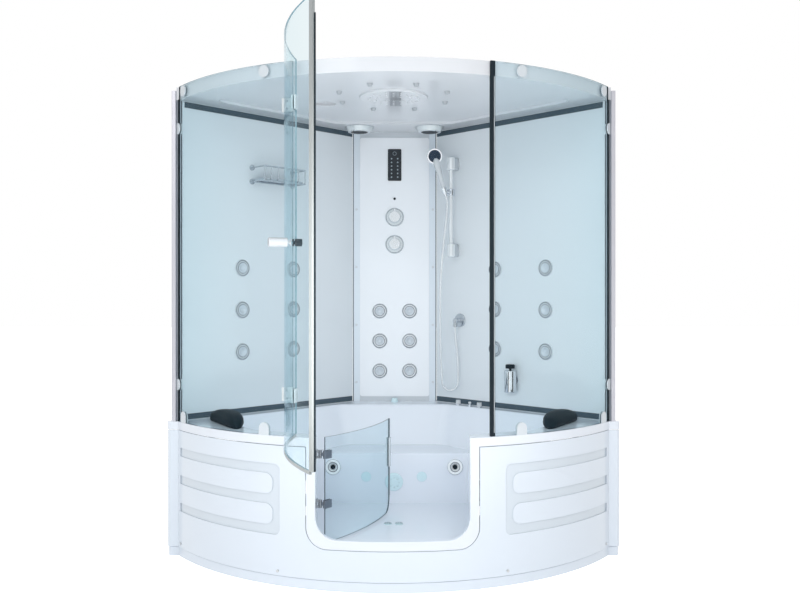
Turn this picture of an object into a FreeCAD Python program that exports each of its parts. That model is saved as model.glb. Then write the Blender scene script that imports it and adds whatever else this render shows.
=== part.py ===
import FreeCAD, Part
import math
import os

# Corner steam shower cabin over a walk-in tub. Millimetres, +X right, +Y to the room corner, +Z up.
# The origin is on the floor, midway between the two front corners of the tub.

# ---- plan ----
side_length = 1500.0          # each wall side, front corner to rear corner
front_radius = 1232.0         # outer face of the curved front
curve_half_width = 1004.7     # where the curved front meets the flat corner ends
corner_step = 3.66            # each flat end stops this far short of the side's full reach
corner_reach = 22.0           # flat corner ends, in front of the line of the corners
corner_round = 20.0
wall_offset = 49.5            # room side of the tub to the inner face of a wall
column_depth = 290.66         # face of the column to the rear corner
column_overlap = 12.3         # how far the column's edges reach behind the walls' inner faces

# ---- heights ----
rim_z = 625.0
ceiling_z = 2125.0
roof_height = 60.0
skirt_height = 40.0

# ---- tub ----
acrylic = 8.0                 # acrylic with its backing
rim_lip = 37.0
groove = 3.0                  # open joint round the apron
doorway_half = 319.0
doorway_z = 209.0
doorway_round = 92.0
border_round = 85.0           # corner of the border round the doorway
frame_border = 38.0
threshold_depth = 20.0
jamb_step = 0.6                # the well is this much wider than the doorway on each side
well_floor_z = 175.0
well_rear_half = 420.0
well_front_inset = 121.0      # outer face to the place where the well starts to widen
riser_y = 270.0
well_rear_round = 70.0
seat_z = 425.0
basin_edge_round = 12.0
rim_edge_round = 5.0
basin_front_inset = 89.0      # outer face to the basin's front edge
basin_front_x = 600.0
basin_rear_x = 836.0
basin_back_x = 290.0
basin_back_inset = 154.66     # rear corner to the line of the basin's long sides
seat_front_inset = 132.0
seat_front_x = 470.0
seat_rear_x = 650.0
seat_back_x = 250.0
seat_rear_step = 256.0        # backrest's foot, inside the basin's edge, at its front and rear
seat_back_step = 136.0
basin_corner_round = 80.0

# ---- apron ----
apron_thickness = 8.0
apron_inset = 1.0
recess_depth = 4.0
recess_inner_x = 472.0
recess_end = 17.7             # recess to the end of the curve
recess_top_z = 507.0
recess_bottom_z = 212.0
recess_bar = 40.0
recess_band = 31.0
recess_round = 24.0
island_round = 34.0
skirt_inset = 5.0
skirt_thickness = 6.0
skirt_lip = 9.0                # the skirt's inner lip, clipped behind the apron
apron_screw_r = 6.0
apron_screw_z = 62.0
apron_screw_x = 480.0
apron_screw_end = 19.7        # outer screws to the end of the curve

# ---- base ----
rail_width = 30.0
rail_height = 40.0
rail_inset = 60.0
ring_post_x = 674.0
foot_pad_r = 28.0
foot_pad_height = 10.0
foot_stud_r = 6.0
centre_pad_r = 40.0
upright_size = 26.0

# ---- walls ----
panel_thickness = 5.0
wall_frame_depth = 30.0
wall_frame_width = 32.0
wall_frame_middle_z = 1410.0
wall_end_gap = 1.5            # end of a wall to the column's edge, along the wall
seat_gap = 0.3                # clearance where a panel, pane or pad is seated
strip_height = 27.0
strip_thickness = 2.0
strip_margin = 3.0
post_width = 20.0
post_depth = 46.0
post_end = 31.0               # post's centre to the flat end's outer face
post_set_back = 4.0           # post behind the face of the flat end
post_top_z = 2168.0
post_wall = 2.0

# ---- column ----
trim_width = 40.0             # strip of the housing beside the panel
column_panel_bottom = 652.0
column_panel_top = 2092.0
column_panel_round = 14.0
panel_proud = 8.0
housing_wall = 4.0
housing_depth = 44.0
trim_thickness = 4.0
trim_cap_r = 7.0
trim_cap_height = 3.0
trim_cap_z = (731.0, 1050.0, 1372.0, 1693.0)
display_width = 75.0
display_height = 176.0
display_z = 1940.0
display_thickness = 6.0
sensor_r = 7.0
sensor_z = 1752.0
knob_z = (1498.0, 1649.0)
inlet_r = 10.4
inlet_boss_r = 13.0
inlet_length = 46.0
inlet_spigot_length = 30.0
inlet_spacing = 52.0
knob_rosette_r = 52.0
knob_rosette_thickness = 7.0
knob_r = 34.0
knob_length = 32.0
knob_shaft_r = 8.0
knob_stand = 3.0
shaft_clearance = 0.05
valve_r = 26.0
valve_depth = 70.0

# ---- jets ----
jet_r = 42.0
jet_thickness = 7.0
jet_nozzle_r = 25.0
jet_nozzle_length = 12.0
jet_bore_r = 25.3
jet_column_x = 83.0
jet_column_z = (794.0, 961.0, 1127.0)
jet_wall_s = (335.0, 653.0)
jet_wall_z = (934.0, 1141.0, 1349.0)

# ---- roof ----
roof_inset = 12.0
roof_wall = 5.0
roof_flange = 28.0
ceiling_step = 12.0
ceiling_step_inset = 150.0
ceiling_step_round = 60.0
ceiling_step_rear_y = 540.0
rain_head_r = 158.0
rain_head_y = -30.0
rain_head_thickness = 11.0
rain_stem_r = 11.0
spray_ring_r = (52.0, 84.0, 116.0)
spray_ring_count = (10, 16, 22)
spray_r = 4.0
spray_length = 3.0
grille_width = 66.0
grille_length = 96.0
ceiling_nozzle_r = 14.0
ceiling_nozzle_length = 14.0
ceiling_nozzle_circle = 265.0
ceiling_nozzle_count = 8
ceiling_light_x = 190.0
ceiling_light_y = 640.0
ceiling_light_r = 76.0
ceiling_light_lens_r = 46.0
ceiling_light_drop = 26.0
fan_x = -330.0
fan_y = 120.0
fan_r = 62.0
fan_height = 42.0
fan_hub_r = 16.0
fan_blade_count = 7
fan_shaft_r = 4.0
fan_gap = 3.0

# ---- glass ----
glass = 6.0
glass_set_back = 4.0          # outer face of the glass, behind the edge of the rim
pane_gap = 2.0                # under the fixed panes
pane_post_gap = 16.0          # end of a pane to the post, filled by a seal
pane_hinge_x = 416.0
pane_free_x = 424.0
gasket_width = 18.5
gasket_proud = 4.0
fascia_gap = 1.0
clamp_width = 50.0
clamp_height = 52.0
clamp_thickness = 6.0
clamp_x = (542.0, 968.0)
rim_tab_thickness = 3.4
post_clamp_z = (797.0, 1990.0)
post_clamp_r = 27.0

# ---- upper door ----
door_open = 79.0
door_pivot_x = -410.0
door_pivot_out = 8.5          # hinge axis, outside the outer face of the glass
door_hinge_edge_x = -403.0
door_free_edge_x = 378.0
door_bottom_z = 641.0
door_hinge_z = (801.0, 2003.0)
hinge_plate_height = 58.0
hinge_plate_width = 44.0
hinge_plate_thickness = 5.0
knuckle_r = 7.0
hinge_pin_r = 3.0
knuckle_share = 0.42
knuckle_gap = 0.4
hinge_web = 6.0
seal_width = 22.0
seal_depth = 14.0
bottom_seal_height = 12.0
handle_z = 1394.0
handle_from_edge = 215.0
handle_r = 16.5
handle_stem_r = 7.0
handle_length = 66.0
handle_rose_r = 13.0
handle_rose_thickness = 3.0
inner_knob_r = 13.0
inner_knob_length = 22.0

# ---- tub door ----
tub_door_open = 65.0
tub_pivot_x = -303.0
tub_pivot_behind = 22.1       # hinge axis behind the inner face of the leaf
tub_leaf_inset = 26.0         # outer face of the front to the leaf
tub_leaf_x = (-307.0, 308.0)
tub_leaf_bottom = 184.0
tub_leaf_top = 623.0
tub_leaf_round = 70.0
tub_leaf_hinge_round = 14.0
tub_hinge_z = (344.0, 550.0)
tub_clamp_height = 34.0
tub_clamp_width = 34.0
tub_clamp_thickness = 4.0
tub_knuckle_r = 7.0
tub_hinge_plate = 4.0
tub_handle_z = (396.0, 534.0)
tub_handle_width = 20.0
tub_handle_thickness = 7.0
tub_seal_width = 5.0

# ---- pillows ----
pillow_length = 345.0
pillow_width = 100.0
pillow_thickness = 64.0
pillow_x = 772.0
pillow_inset = 117.0          # outer face of the front to the pillow's middle
pillow_turn = 59.1

# ---- slide rail, hand shower and hose ----
rail_s = 919.0
rail_stand = 50.0
slide_bar_r = 10.0
slide_bar_z = (1421.0, 1961.0)
bracket_height = 72.0
bracket_r = 22.0
bracket_stem_r = 13.0
slider_r = 20.0
slider_height = 38.0
slider_clearance = 0.05
tilt_z = 1768.0
arm_r = 8.0
boss_r = 13.0
boss_end = 36.0
holder_r = 16.0
holder_height = 28.0
handset_foot = (270.0, 565.0, 1763.0)
handset_lean_x = -0.30
handset_lean_y = -0.20
grip_length = 165.0
grip_r = 11.0
grip_foot_r = 9.0
head_r = 41.0
head_thickness = 20.0
face_r = 33.0
nut_r = 9.5
nut_length = 20.0
hose_r = 6.0
outlet_s = 895.0
outlet_z = 1079.0
outlet_r = 36.0
outlet_thickness = 9.0
outlet_stand = 44.0
outlet_stub_r = 11.0
outlet_drop = 34.0
hose_route = (
    (284.0, 574.5, 1706.0), (280.0, 576.0, 1638.0), (268.0, 575.0, 1538.0), (256.0, 578.0, 1418.0),
    (248.0, 583.0, 1288.0), (245.0, 589.0, 1158.0), (245.5, 592.0, 1028.0), (248.0, 595.0, 918.0),
    (252.0, 597.0, 836.0), (255.5, 598.5, 774.0), (258.0, 600.0, 727.0), (282.5, 600.5, 702.5),
    (317.0, 601.0, 703.0), (341.0, 601.5, 728.0), (343.5, 602.0, 780.0), (342.0, 602.5, 850.0),
    (336.5, 602.5, 925.0))
hose_end_run = 50.0

# ---- shelf and soap dispenser ----
shelf_s = 520.0
shelf_z = 1786.0
shelf_length = 247.0
shelf_depth = 104.0
shelf_glass = 8.0
gallery_rise = 58.0
wire_r = 3.5
shelf_bracket_r = 14.0
soap_s = 526.0
soap_z = 720.0
soap_r = 31.0
soap_height = 112.0
soap_stand = 40.0
cap_height = 20.0
cap_travel = 9.0
cap_r = 24.0
cap_stem_r = 6.0

# ---- tub fittings ----
hydro_x = 305.0
hydro_z = 356.0
hydro_r = 39.0
hydro_thickness = 7.0
hydro_eye_r = 20.0
light_x = 139.0
light_z = 307.0
light_r = 25.0
suction_z = 281.0
suction_r = 45.0
suction_thickness = 9.0
drain_x = 25.0
drain_y = -129.0
drain_r = 18.0
cap_thickness = 4.0
trap_r = 12.0
deck_row_x = (342.6, 400.0, 446.0)
deck_base_r = 15.0
deck_base_height = 7.0
deck_knob_r = 13.5
deck_knob_height = 20.0
deck_stud_r = 7.0
button_base_r = 10.0
button_base_height = 10.0
button_r = 8.0
button_height = 9.0
button_travel = 5.0
deck_row_step = 24.0          # basin's edge to the line of the deck fittings, along x

# ---- plant behind the panels ----
pump_r = 62.0
pump_length = 200.0
pump_x = 430.0
pump_y = 370.0
pipe_r = 18.0
jet_pipe_r = 14.0
jet_pipe_y = 312.0
waste_r = 22.0
waste_spigot_r = 20.0
waste_spigot_length = 60.0
waste_z = 78.0
waste_x = 78.0
waste_reach = 260.0
boiler_width = 240.0
boiler_depth = 78.0
boiler_height = 345.0
boiler_z = 1100.0
steam_pipe_r = 11.0
steam_outlet_r = 20.0
steam_outlet_height = 22.0
steam_outlet_y = 728.0
steam_drop_y = 855.0
steam_run_z = 590.0

# ---- worked-out places ----
arc_y = math.sqrt(front_radius ** 2 - curve_half_width ** 2) - corner_reach
rear_y = side_length / math.sqrt(2)
corner_half_width = rear_y - corner_step
roof_top = ceiling_z + roof_height
glass_outer = front_radius - glass_set_back
glass_inner = glass_outer - glass
wall_front_x = rear_y - wall_offset * math.sqrt(2)
column_face_y = rear_y - column_depth
column_half_width = wall_front_x - column_face_y + column_overlap
column_panel_half = column_half_width - trim_width
wall_length = (wall_front_x - column_half_width) * math.sqrt(2) - wall_end_gap
post_centre_x = corner_half_width - post_end
post_front_y = post_set_back - corner_reach
pane_end_x = post_centre_x - post_width / 2 - pane_post_gap
recess_outer_x = curve_half_width - recess_end
apron_screws_x = (apron_screw_x, curve_half_width - apron_screw_end)
well_front_y = arc_y - front_radius + well_front_inset
basin_line = rear_y - basin_back_inset
deck_line = basin_line + deck_row_step
tub_leaf_radius = front_radius - tub_leaf_inset
well_bottom = well_floor_z - acrylic
deck_bottom = rim_z - acrylic
apron_back_radius = front_radius - apron_inset - apron_thickness
Z = FreeCAD.Vector(0, 0, 1)


def front_y(x, inset):
    """Where the curved front, moved inwards by inset, stands at x."""
    return arc_y - math.sqrt((front_radius - inset) ** 2 - x ** 2)


basin_end_front = (basin_front_x, front_y(basin_front_x, basin_front_inset))
basin_end_rear = (basin_rear_x, basin_line - basin_rear_x)
basin_back = (basin_back_x, basin_line - basin_back_x)
seat_end_front = (seat_front_x, front_y(seat_front_x, seat_front_inset))
seat_end_rear = (seat_rear_x, basin_line - seat_rear_step - seat_rear_x)
seat_back = (seat_back_x, basin_line - seat_back_step - seat_back_x)
tub_pivot = (tub_pivot_x, front_y(tub_pivot_x, tub_leaf_inset + glass) + tub_pivot_behind)
pillow_centre = (pillow_x, front_y(pillow_x, pillow_inset))


def vec(x, y, z=0.0):
    return FreeCAD.Vector(x, y, z)


def box(x0, x1, y0, y1, z0, z1):
    return Part.makeBox(x1 - x0, y1 - y0, z1 - z0, vec(x0, y0, z0))


def rod(radius, start, end):
    return Part.makeCylinder(radius, (end - start).Length, start, end - start)


def tube(outer, inner, start, end):
    return rod(outer, start, end).cut(rod(inner, start, end))


def prism(wire, z0, z1):
    face = Part.Face(wire)
    face.translate(vec(0, 0, z0 - wire.BoundBox.ZMin))
    return face.extrude(vec(0, 0, z1 - z0))


def mirrored(shape):
    return shape.mirror(vec(0, 0, 0), vec(1, 0, 0))


def both_sides(shape):
    return [shape, mirrored(shape)]


def fuse(shapes):
    return shapes[0].multiFuse(shapes[1:]).removeSplitter()


def rounded_edges(solid, radius, wanted):
    return solid.makeFillet(radius, [edge for edge in solid.Edges if wanted(edge)])


def at_height(z):
    return lambda edge: abs(edge.BoundBox.ZMin - z) < 0.01 and abs(edge.BoundBox.ZMax - z) < 0.01


def upright(edge):
    return edge.BoundBox.XLength < 0.01 and edge.BoundBox.YLength < 0.01


def on_arc(radius, angle, z=0.0):
    """Point on a circle about the centre of the curved front; angle 0 is the apex, positive to +X."""
    return vec(radius * math.sin(angle), arc_y - radius * math.cos(angle), z)


def arc_angle(x, radius):
    return math.asin(x / radius)


def bend(inner, outer, start, end, z0, z1):
    """A curved plate between two radii and two angles."""
    middle = (start + end) / 2
    edges = [Part.Arc(on_arc(outer, start), on_arc(outer, middle), on_arc(outer, end)).toShape(),
             Part.LineSegment(on_arc(outer, end), on_arc(inner, end)).toShape(),
             Part.Arc(on_arc(inner, end), on_arc(inner, middle), on_arc(inner, start)).toShape(),
             Part.LineSegment(on_arc(inner, start), on_arc(outer, start)).toShape()]
    return prism(Part.Wire(edges), z0, z1)


def drum(radius, z0, z1):
    return Part.makeCylinder(radius, z1 - z0, vec(0, arc_y, z0))


def outline(inset):
    """Plan of the cabin, moved inwards by inset: curved front, flat corner ends and two room sides."""
    radius = front_radius - inset
    corner_y = rear_y - inset * math.sqrt(2)
    flat_y = inset - corner_reach
    flat_x = corner_half_width - inset
    side_y = corner_y - flat_x
    if side_y > flat_y + 1.0:
        arc_x = math.sqrt(radius ** 2 - (arc_y - flat_y) ** 2)
        points = [vec(arc_x, flat_y), vec(flat_x, flat_y), vec(flat_x, side_y)]
    else:
        half = (arc_y + corner_y) / 2
        reach = half - math.sqrt(half ** 2 - (arc_y ** 2 + corner_y ** 2 - radius ** 2) / 2)
        points = [vec(corner_y - reach, reach)]
    right = points + [vec(0, corner_y)]
    left = [vec(-point.x, point.y) for point in reversed(points)]
    ring = right + left
    edges = [Part.LineSegment(a, b).toShape() for a, b in zip(ring, ring[1:])]
    edges.append(Part.Arc(ring[-1], vec(0, arc_y - radius), ring[0]).toShape())
    return Part.Wire(edges)


def plan_prism(inset, z0, z1, rounding=0.0):
    """The plan as a solid; rounding softens the flat ends where they meet the sides."""
    def front_corner(edge):
        beside = abs(abs(edge.BoundBox.XMin) - corner_half_width + inset) < 0.1
        return upright(edge) and beside and abs(edge.BoundBox.YMin + corner_reach - inset) < 0.1
    solid = prism(outline(inset), z0, z1)
    return rounded_edges(solid, rounding, front_corner) if rounding else solid


def soft_polygon(points, radius, z, front=None):
    """A closed wire through the points with rounded corners; the first side may bulge to a front point."""
    count = len(points)
    corners = []
    for index in range(count):
        here = points[index]
        before = (points[index - 1] - here).normalize()
        after = (points[(index + 1) % count] - here).normalize()
        half = before.getAngle(after) / 2
        step = radius / math.tan(half)
        middle = here + (before + after).normalize() * (radius / math.sin(half) - radius)
        corners.append((here + before * step, middle, here + after * step))
    edges = []
    for index in range(count):
        start, middle, end = corners[index]
        edges.append(Part.Arc(start, middle, end).toShape())
        following = corners[(index + 1) % count][0]
        if index == 0 and front:
            edges.append(Part.Arc(end, front, following).toShape())
        else:
            edges.append(Part.LineSegment(end, following).toShape())
    wire = Part.Wire(edges)
    wire.translate(vec(0, 0, z))
    return wire


def wall_place(shape):
    """Move a shape from the wall's own frame (x along the wall, y outwards, z up) to the left wall."""
    placed = shape.copy()
    placed.rotate(vec(0, 0, 0), Z, 45)
    placed.translate(vec(-wall_front_x, 0, 0))
    return placed


def right_wall_place(shape):
    return mirrored(wall_place(shape))


def right_wall_point(s, stand, z):
    """A point s along the right wall and stand away from it, into the cabin."""
    along = s / math.sqrt(2)
    away = stand / math.sqrt(2)
    return vec(wall_front_x - along - away, along - away, z)


def save(name, shapes):
    shapes = shapes if isinstance(shapes, list) else [shapes]
    solids = [solid for shape in shapes for solid in shape.Solids]
    for solid in solids:
        assert solid.isValid() and solid.Volume > 0, name
    whole = solids[0] if len(solids) == 1 else Part.makeCompound(solids)
    whole.exportStep("parts/" + name + ".step")
    print(f"{name}: {len(solids)} solid(s), {whole.Volume / 1000:.0f} cm3")


# ---------------------------------------------------------------- tub

def doorway_cut(grow, floor, radius):
    """Upright U-shaped cutter through the curved front, grown all round."""
    half = doorway_half + grow
    bottom = floor - grow
    block = box(-half, half, -2 * front_radius, well_front_y, bottom, rim_z + 50)
    return rounded_edges(block, radius, lambda e: e.BoundBox.YLength > 100 and
                         abs(e.BoundBox.ZMax - bottom) < 0.01)


def well(grow):
    """Foot well: narrow at the doorway and wider at the seat riser."""
    front = arc_y - front_radius
    half = doorway_half + jamb_step + grow
    points = [vec(-half, front), vec(half, front), vec(half, well_front_y),
              vec(well_rear_half + grow, riser_y + grow), vec(-well_rear_half - grow, riser_y + grow),
              vec(-half, well_front_y)]
    solid = prism(Part.makePolygon(points + points[:1]), well_floor_z - grow, rim_z + 50)
    rear = riser_y + grow
    solid = rounded_edges(solid, well_rear_round + grow,
                          lambda e: upright(e) and abs(e.BoundBox.YMin - rear) < 0.01)
    front_limit = apron_back_radius - seat_gap if grow else front_radius - threshold_depth
    return solid.common(drum(front_limit, 0, rim_z + 100))


def basin(grow, over=0.0):
    """Upper part of the tub: seats and sloping backrests, lofted from the seat up past the rim."""
    share = 1.0 + over / (rim_z - seat_z)
    lift = share * (rim_z - seat_z)

    def corner(low, top, part):
        return [start + (end - start) * part for start, end in zip(low, top)]

    def section(part):
        front = corner(seat_end_front, basin_end_front, part)
        rear = corner(seat_end_rear, basin_end_rear, part)
        back = corner(seat_back, basin_back, part)
        inset = seat_front_inset + (basin_front_inset - seat_front_inset) * part
        points = [vec(-front[0] - grow, front[1] - grow), vec(front[0] + grow, front[1] - grow),
                  vec(rear[0] + grow, rear[1]), vec(back[0] + grow / 2, back[1] + grow),
                  vec(-back[0] - grow / 2, back[1] + grow), vec(-rear[0] - grow, rear[1])]
        return soft_polygon(points, basin_corner_round, 0, vec(0, arc_y - front_radius + inset - grow))
    low, top = section(0.0), section(share)
    low.translate(vec(0, 0, seat_z - grow))
    top.translate(vec(0, 0, seat_z + lift))
    return Part.makeLoft([low, top], True, True)


def make_tub():
    below_rim = box(-2000, 2000, -2000, 2000, 0, rim_z)
    deck = plan_prism(0, deck_bottom, rim_z, corner_round)
    lip = plan_prism(0, rim_z - rim_lip, deck_bottom + 1, corner_round)
    lip = lip.cut(plan_prism(acrylic, rim_z - rim_lip - 1, deck_bottom + 2, corner_round - acrylic))
    border = doorway_cut(frame_border, doorway_z, border_round)
    plate = drum(front_radius, doorway_z - frame_border, deck_bottom + 1).common(border)
    plate = plate.cut(drum(apron_back_radius - seat_gap - 3, 0, rim_z))
    outside = well(acrylic).fuse(basin(acrylic, 20)).common(below_rim)
    body = deck.multiFuse([lip, plate, outside])
    behind_threshold = drum(front_radius - threshold_depth - 1, 0, rim_z + 60)
    doorway = doorway_cut(0, doorway_z, doorway_round).cut(behind_threshold)
    cavity = well(0).fuse(basin(0, 20)).fuse(doorway)
    body = body.cut(cavity)
    body = rounded_edges(body, basin_edge_round,
                         lambda e: at_height(rim_z)(e) and e.Curve.TypeId == "Part::GeomBSplineCurve")
    body = rounded_edges(body, rim_edge_round, lambda e: at_height(rim_z)(e) and
                         max(-e.BoundBox.XMin, e.BoundBox.XMax) > corner_half_width - corner_round)
    for x, z, radius in fitting_holes():
        body = body.cut(rod(radius, vec(x, riser_y - 5, z), vec(x, riser_y + 20, z)))
    for x in (-drain_x, drain_x):
        body = body.cut(rod(trap_r, vec(x, drain_y, 0), vec(x, drain_y, well_floor_z + 5)))
    for y in (steam_outlet_y, steam_drop_y):
        body = body.cut(rod(steam_pipe_r + seat_gap, vec(0, y, deck_bottom - 1), vec(0, y, rim_z + 1)))
    for x in deck_row_x:
        place = deck_place(x)
        body = body.cut(rod(deck_stud_r + seat_gap, place - Z * 20, place + Z))
    save("tub_shell", body)


def deck_place(x):
    return vec(x, deck_line - x, rim_z)


def fitting_holes():
    holes = [(x, hydro_z, hydro_eye_r) for x in (-hydro_x, hydro_x)]
    holes += [(x, light_z, light_r * 0.7) for x in (-light_x, light_x)]
    return holes + [(0.0, suction_z, pipe_r)]



# ---------------------------------------------------------------- apron, skirt and base

def recess_cutter():
    """Three bars joined by an upright band, as a cutter that sinks into the curved face."""
    def slab(x0, x1, z0, z1, radius, corners):
        block = box(x0, x1, -front_radius, 100, z0, z1)
        return rounded_edges(block, radius, lambda e: e.BoundBox.YLength > 100 and corners(e.BoundBox.XMin))
    whole = slab(recess_inner_x, recess_outer_x, recess_bottom_z, recess_top_z, recess_round,
                 lambda x: x < recess_inner_x + 1)
    pitch = (recess_top_z - recess_bottom_z - recess_bar) / 2
    for step in range(2):
        low = recess_bottom_z + recess_bar + step * pitch
        island = slab(recess_inner_x + recess_band, recess_outer_x + 50, low, low + pitch - recess_bar,
                      island_round, lambda x: x < recess_inner_x + recess_band + 1)
        whole = whole.cut(island)
    return whole.cut(drum(front_radius - apron_inset - recess_depth, 0, rim_z))


def make_apron():
    top = rim_z - rim_lip - groove
    bottom = skirt_height + groove
    panel = plan_prism(apron_inset, bottom, top, corner_round - apron_inset)
    core_inset = apron_inset + apron_thickness
    panel = panel.cut(plan_prism(core_inset, 0, rim_z, corner_round - core_inset))
    panel = panel.cut(box(-2000, 2000, -apron_thickness, 2000, 0, rim_z))
    panel = panel.cut(doorway_cut(frame_border + groove, doorway_z, border_round + groove))
    panel = panel.cut(recess_cutter()).cut(mirrored(recess_cutter()))
    screws = []
    for x in apron_screws_x:
        radius = front_radius - apron_inset
        angle = arc_angle(x, radius)
        inner = on_arc(radius - apron_thickness - 12, angle, apron_screw_z)
        hole = rod(apron_screw_r / 2, inner, on_arc(radius + 5, angle, apron_screw_z))
        panel = panel.cut(hole).cut(mirrored(hole))
        shank = rod(apron_screw_r / 2 - 0.2, inner, on_arc(radius + 1, angle, apron_screw_z))
        head = rod(apron_screw_r, on_arc(radius + 0.2, angle, apron_screw_z),
                   on_arc(radius + 3.5, angle, apron_screw_z))
        screws += both_sides(shank.fuse(head))
    save("front_apron", panel)
    save("apron_screws", screws)


def make_skirt():
    skirt = plan_prism(skirt_inset, 0, skirt_height, corner_round - skirt_inset)
    inner = skirt_inset + skirt_thickness
    skirt = skirt.cut(plan_prism(inner, -1, skirt_height + 1, corner_round - inner))
    start = apron_inset + apron_thickness + seat_gap
    end = start + skirt_thickness
    lip_low, lip_high = skirt_height - skirt_lip, skirt_height + groove + skirt_lip
    lip = plan_prism(start, lip_low, lip_high, corner_round - start)
    lip = lip.cut(plan_prism(end, 0, rim_z))
    skirt = skirt.fuse(lip).removeSplitter()
    save("lower_skirt", skirt.cut(box(-2000, 2000, -skirt_inset - skirt_thickness, 2000, -1, rim_z)))


def ring_point(angle):
    return on_arc(front_radius - rail_inset - rail_width / 2, angle)


def make_base():
    rail_top = well_bottom
    rail_low = rail_top - rail_height
    parts = [plan_prism(rail_inset, rail_low, rail_top).cut(
        plan_prism(rail_inset + rail_width, rail_low - 1, rail_top + 1))]
    half = rail_width / 2
    for y in (drain_y - 120, drain_y + 170, riser_y + 150):
        along_arc = math.sqrt((front_radius - rail_inset) ** 2 - min(0.0, y - half - arc_y) ** 2)
        reach = min(rear_y - rail_inset * math.sqrt(2) - y, corner_half_width - rail_inset, along_arc) - half
        parts.append(box(-reach, reach, y - half, y + half, rail_low, rail_top))
    front = front_y(seat_front_x, rail_inset + half)
    for x in (-seat_end_front[0], seat_end_front[0]):
        parts.append(box(x - half, x + half, front, riser_y + 150, rail_low, rail_top))
    size = upright_size / 2
    deck_under = deck_bottom
    seat_under = seat_z - acrylic
    rear = rear_y - (rail_inset + half) * math.sqrt(2)
    posts = [(0.0, rear - 4, deck_under), (0.0, riser_y + 150, seat_under)]
    for side in (-1, 1):
        posts += [(side * 480, rear - 480, deck_under), (side * 870, rear - 870, deck_under),
                  (side * 540, drain_y + 40, seat_under - seat_gap)]
        place = ring_point(side * arc_angle(ring_post_x, front_radius))
        posts.append((place.x, place.y, deck_under))
    parts.append(box(-540 - size, 540 + size, drain_y + 40 - size, drain_y + 40 + size, rail_low, rail_top))
    for x, y, top in posts:
        parts.append(box(x - size, x + size, y - size, y + size, rail_low, top - seat_gap))
    frame = fuse(parts)
    feet = []
    spots = [ring_point(0.0), vec(0, rear - 4), vec(0, riser_y + 150)]
    for side in (-1, 1):
        spots += [ring_point(side * arc_angle(ring_post_x, front_radius)), vec(side * 870, rear - 870),
                  vec(side * 480, rear - 480)]
    for spot in spots:
        frame = frame.cut(rod(foot_stud_r + shaft_clearance, vec(spot.x, spot.y, rail_low - 1),
                              vec(spot.x, spot.y, rail_top - 6)))
        pad = Part.makeCone(foot_pad_r, foot_stud_r * 2, foot_pad_height, vec(spot.x, spot.y, 0))
        stud = rod(foot_stud_r, vec(spot.x, spot.y, foot_pad_height / 2), vec(spot.x, spot.y, rail_top - 8))
        nut = rod(foot_stud_r * 1.8, vec(spot.x, spot.y, rail_low - 10), vec(spot.x, spot.y, rail_low))
        feet.append(fuse([pad, stud, nut]))
    middle = drain_y + 170 - half
    cross = box(-foot_stud_r * 3, foot_stud_r * 3, -foot_stud_r * 3, middle + half, rail_low, rail_top)
    frame = frame.fuse(cross).removeSplitter()
    frame = frame.cut(rod(foot_stud_r + shaft_clearance, vec(0, 0, rail_low - 1), vec(0, 0, rail_top - 6)))
    centre_pad = rod(centre_pad_r, vec(0, 0, 0), vec(0, 0, foot_pad_height))
    stud = rod(foot_stud_r, vec(0, 0, foot_pad_height / 2), vec(0, 0, rail_top - 8))
    nut = rod(foot_stud_r * 1.8, vec(0, 0, rail_low - 10), vec(0, 0, rail_low))
    feet.append(fuse([centre_pad, stud, nut]))
    save("base_frame", frame)
    save("levelling_feet", feet)


# ---------------------------------------------------------------- walls and posts

def wall_panel():
    z0, z1 = rim_z + seat_gap, ceiling_z - seat_gap
    panel = box(0, wall_length, 0, panel_thickness, z0, z1)
    for s in jet_wall_s:
        for z in jet_wall_z:
            panel = panel.cut(rod(jet_bore_r, vec(s, -1, z), vec(s, panel_thickness + 1, z)))
    return panel


def wall_frame():
    z0, z1 = rim_z + seat_gap, ceiling_z - seat_gap
    y0, y1 = panel_thickness, panel_thickness + wall_frame_depth
    frame = box(0, wall_length, y0, y1, z0, z1)
    middle = wall_frame_middle_z
    half = wall_frame_width / 2
    for low, high in ((z0 + wall_frame_width, middle - half), (middle + half, z1 - wall_frame_width)):
        frame = frame.cut(box(wall_frame_width, wall_length - wall_frame_width, y0 - 1, y1 + 1, low, high))
    return frame


def make_walls():
    panel = wall_panel()
    save("left_wall", wall_place(panel))
    save("right_wall", right_wall_place(panel))
    frame = wall_frame()
    save("wall_frames", [wall_place(frame), right_wall_place(frame)])
    strips = []
    for z0 in (rim_z + strip_margin, ceiling_z - strip_margin - strip_height):
        strip = box(strip_margin * 4, wall_length - strip_margin, -strip_thickness, 0, z0, z0 + strip_height)
        strips += [wall_place(strip), right_wall_place(strip)]
    save("wall_strips", strips)


def make_posts():
    x0, x1 = post_centre_x - post_width / 2, post_centre_x + post_width / 2
    y0, y1 = post_front_y, post_front_y + post_depth
    post = box(x0, x1, y0, y1, rim_z + seat_gap, post_top_z)
    post = rounded_edges(post, 3.0, lambda e: upright(e) and e.BoundBox.YMin < y0 + 1)
    hollow = box(x0 + post_wall, x1 - post_wall, y0 + post_wall, y1 - post_wall, rim_z, post_top_z - 3)
    post = post.cut(hollow)
    corner = wall_front_x
    post = post.cut(right_wall_place(box(-100, 5, -60, 60, rim_z, ceiling_z + 100)).common(
        box(corner - 60, corner + 26, 0, 60, rim_z, ceiling_z + 100)))
    save("front_posts", both_sides(post))


# ---------------------------------------------------------------- column

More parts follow.
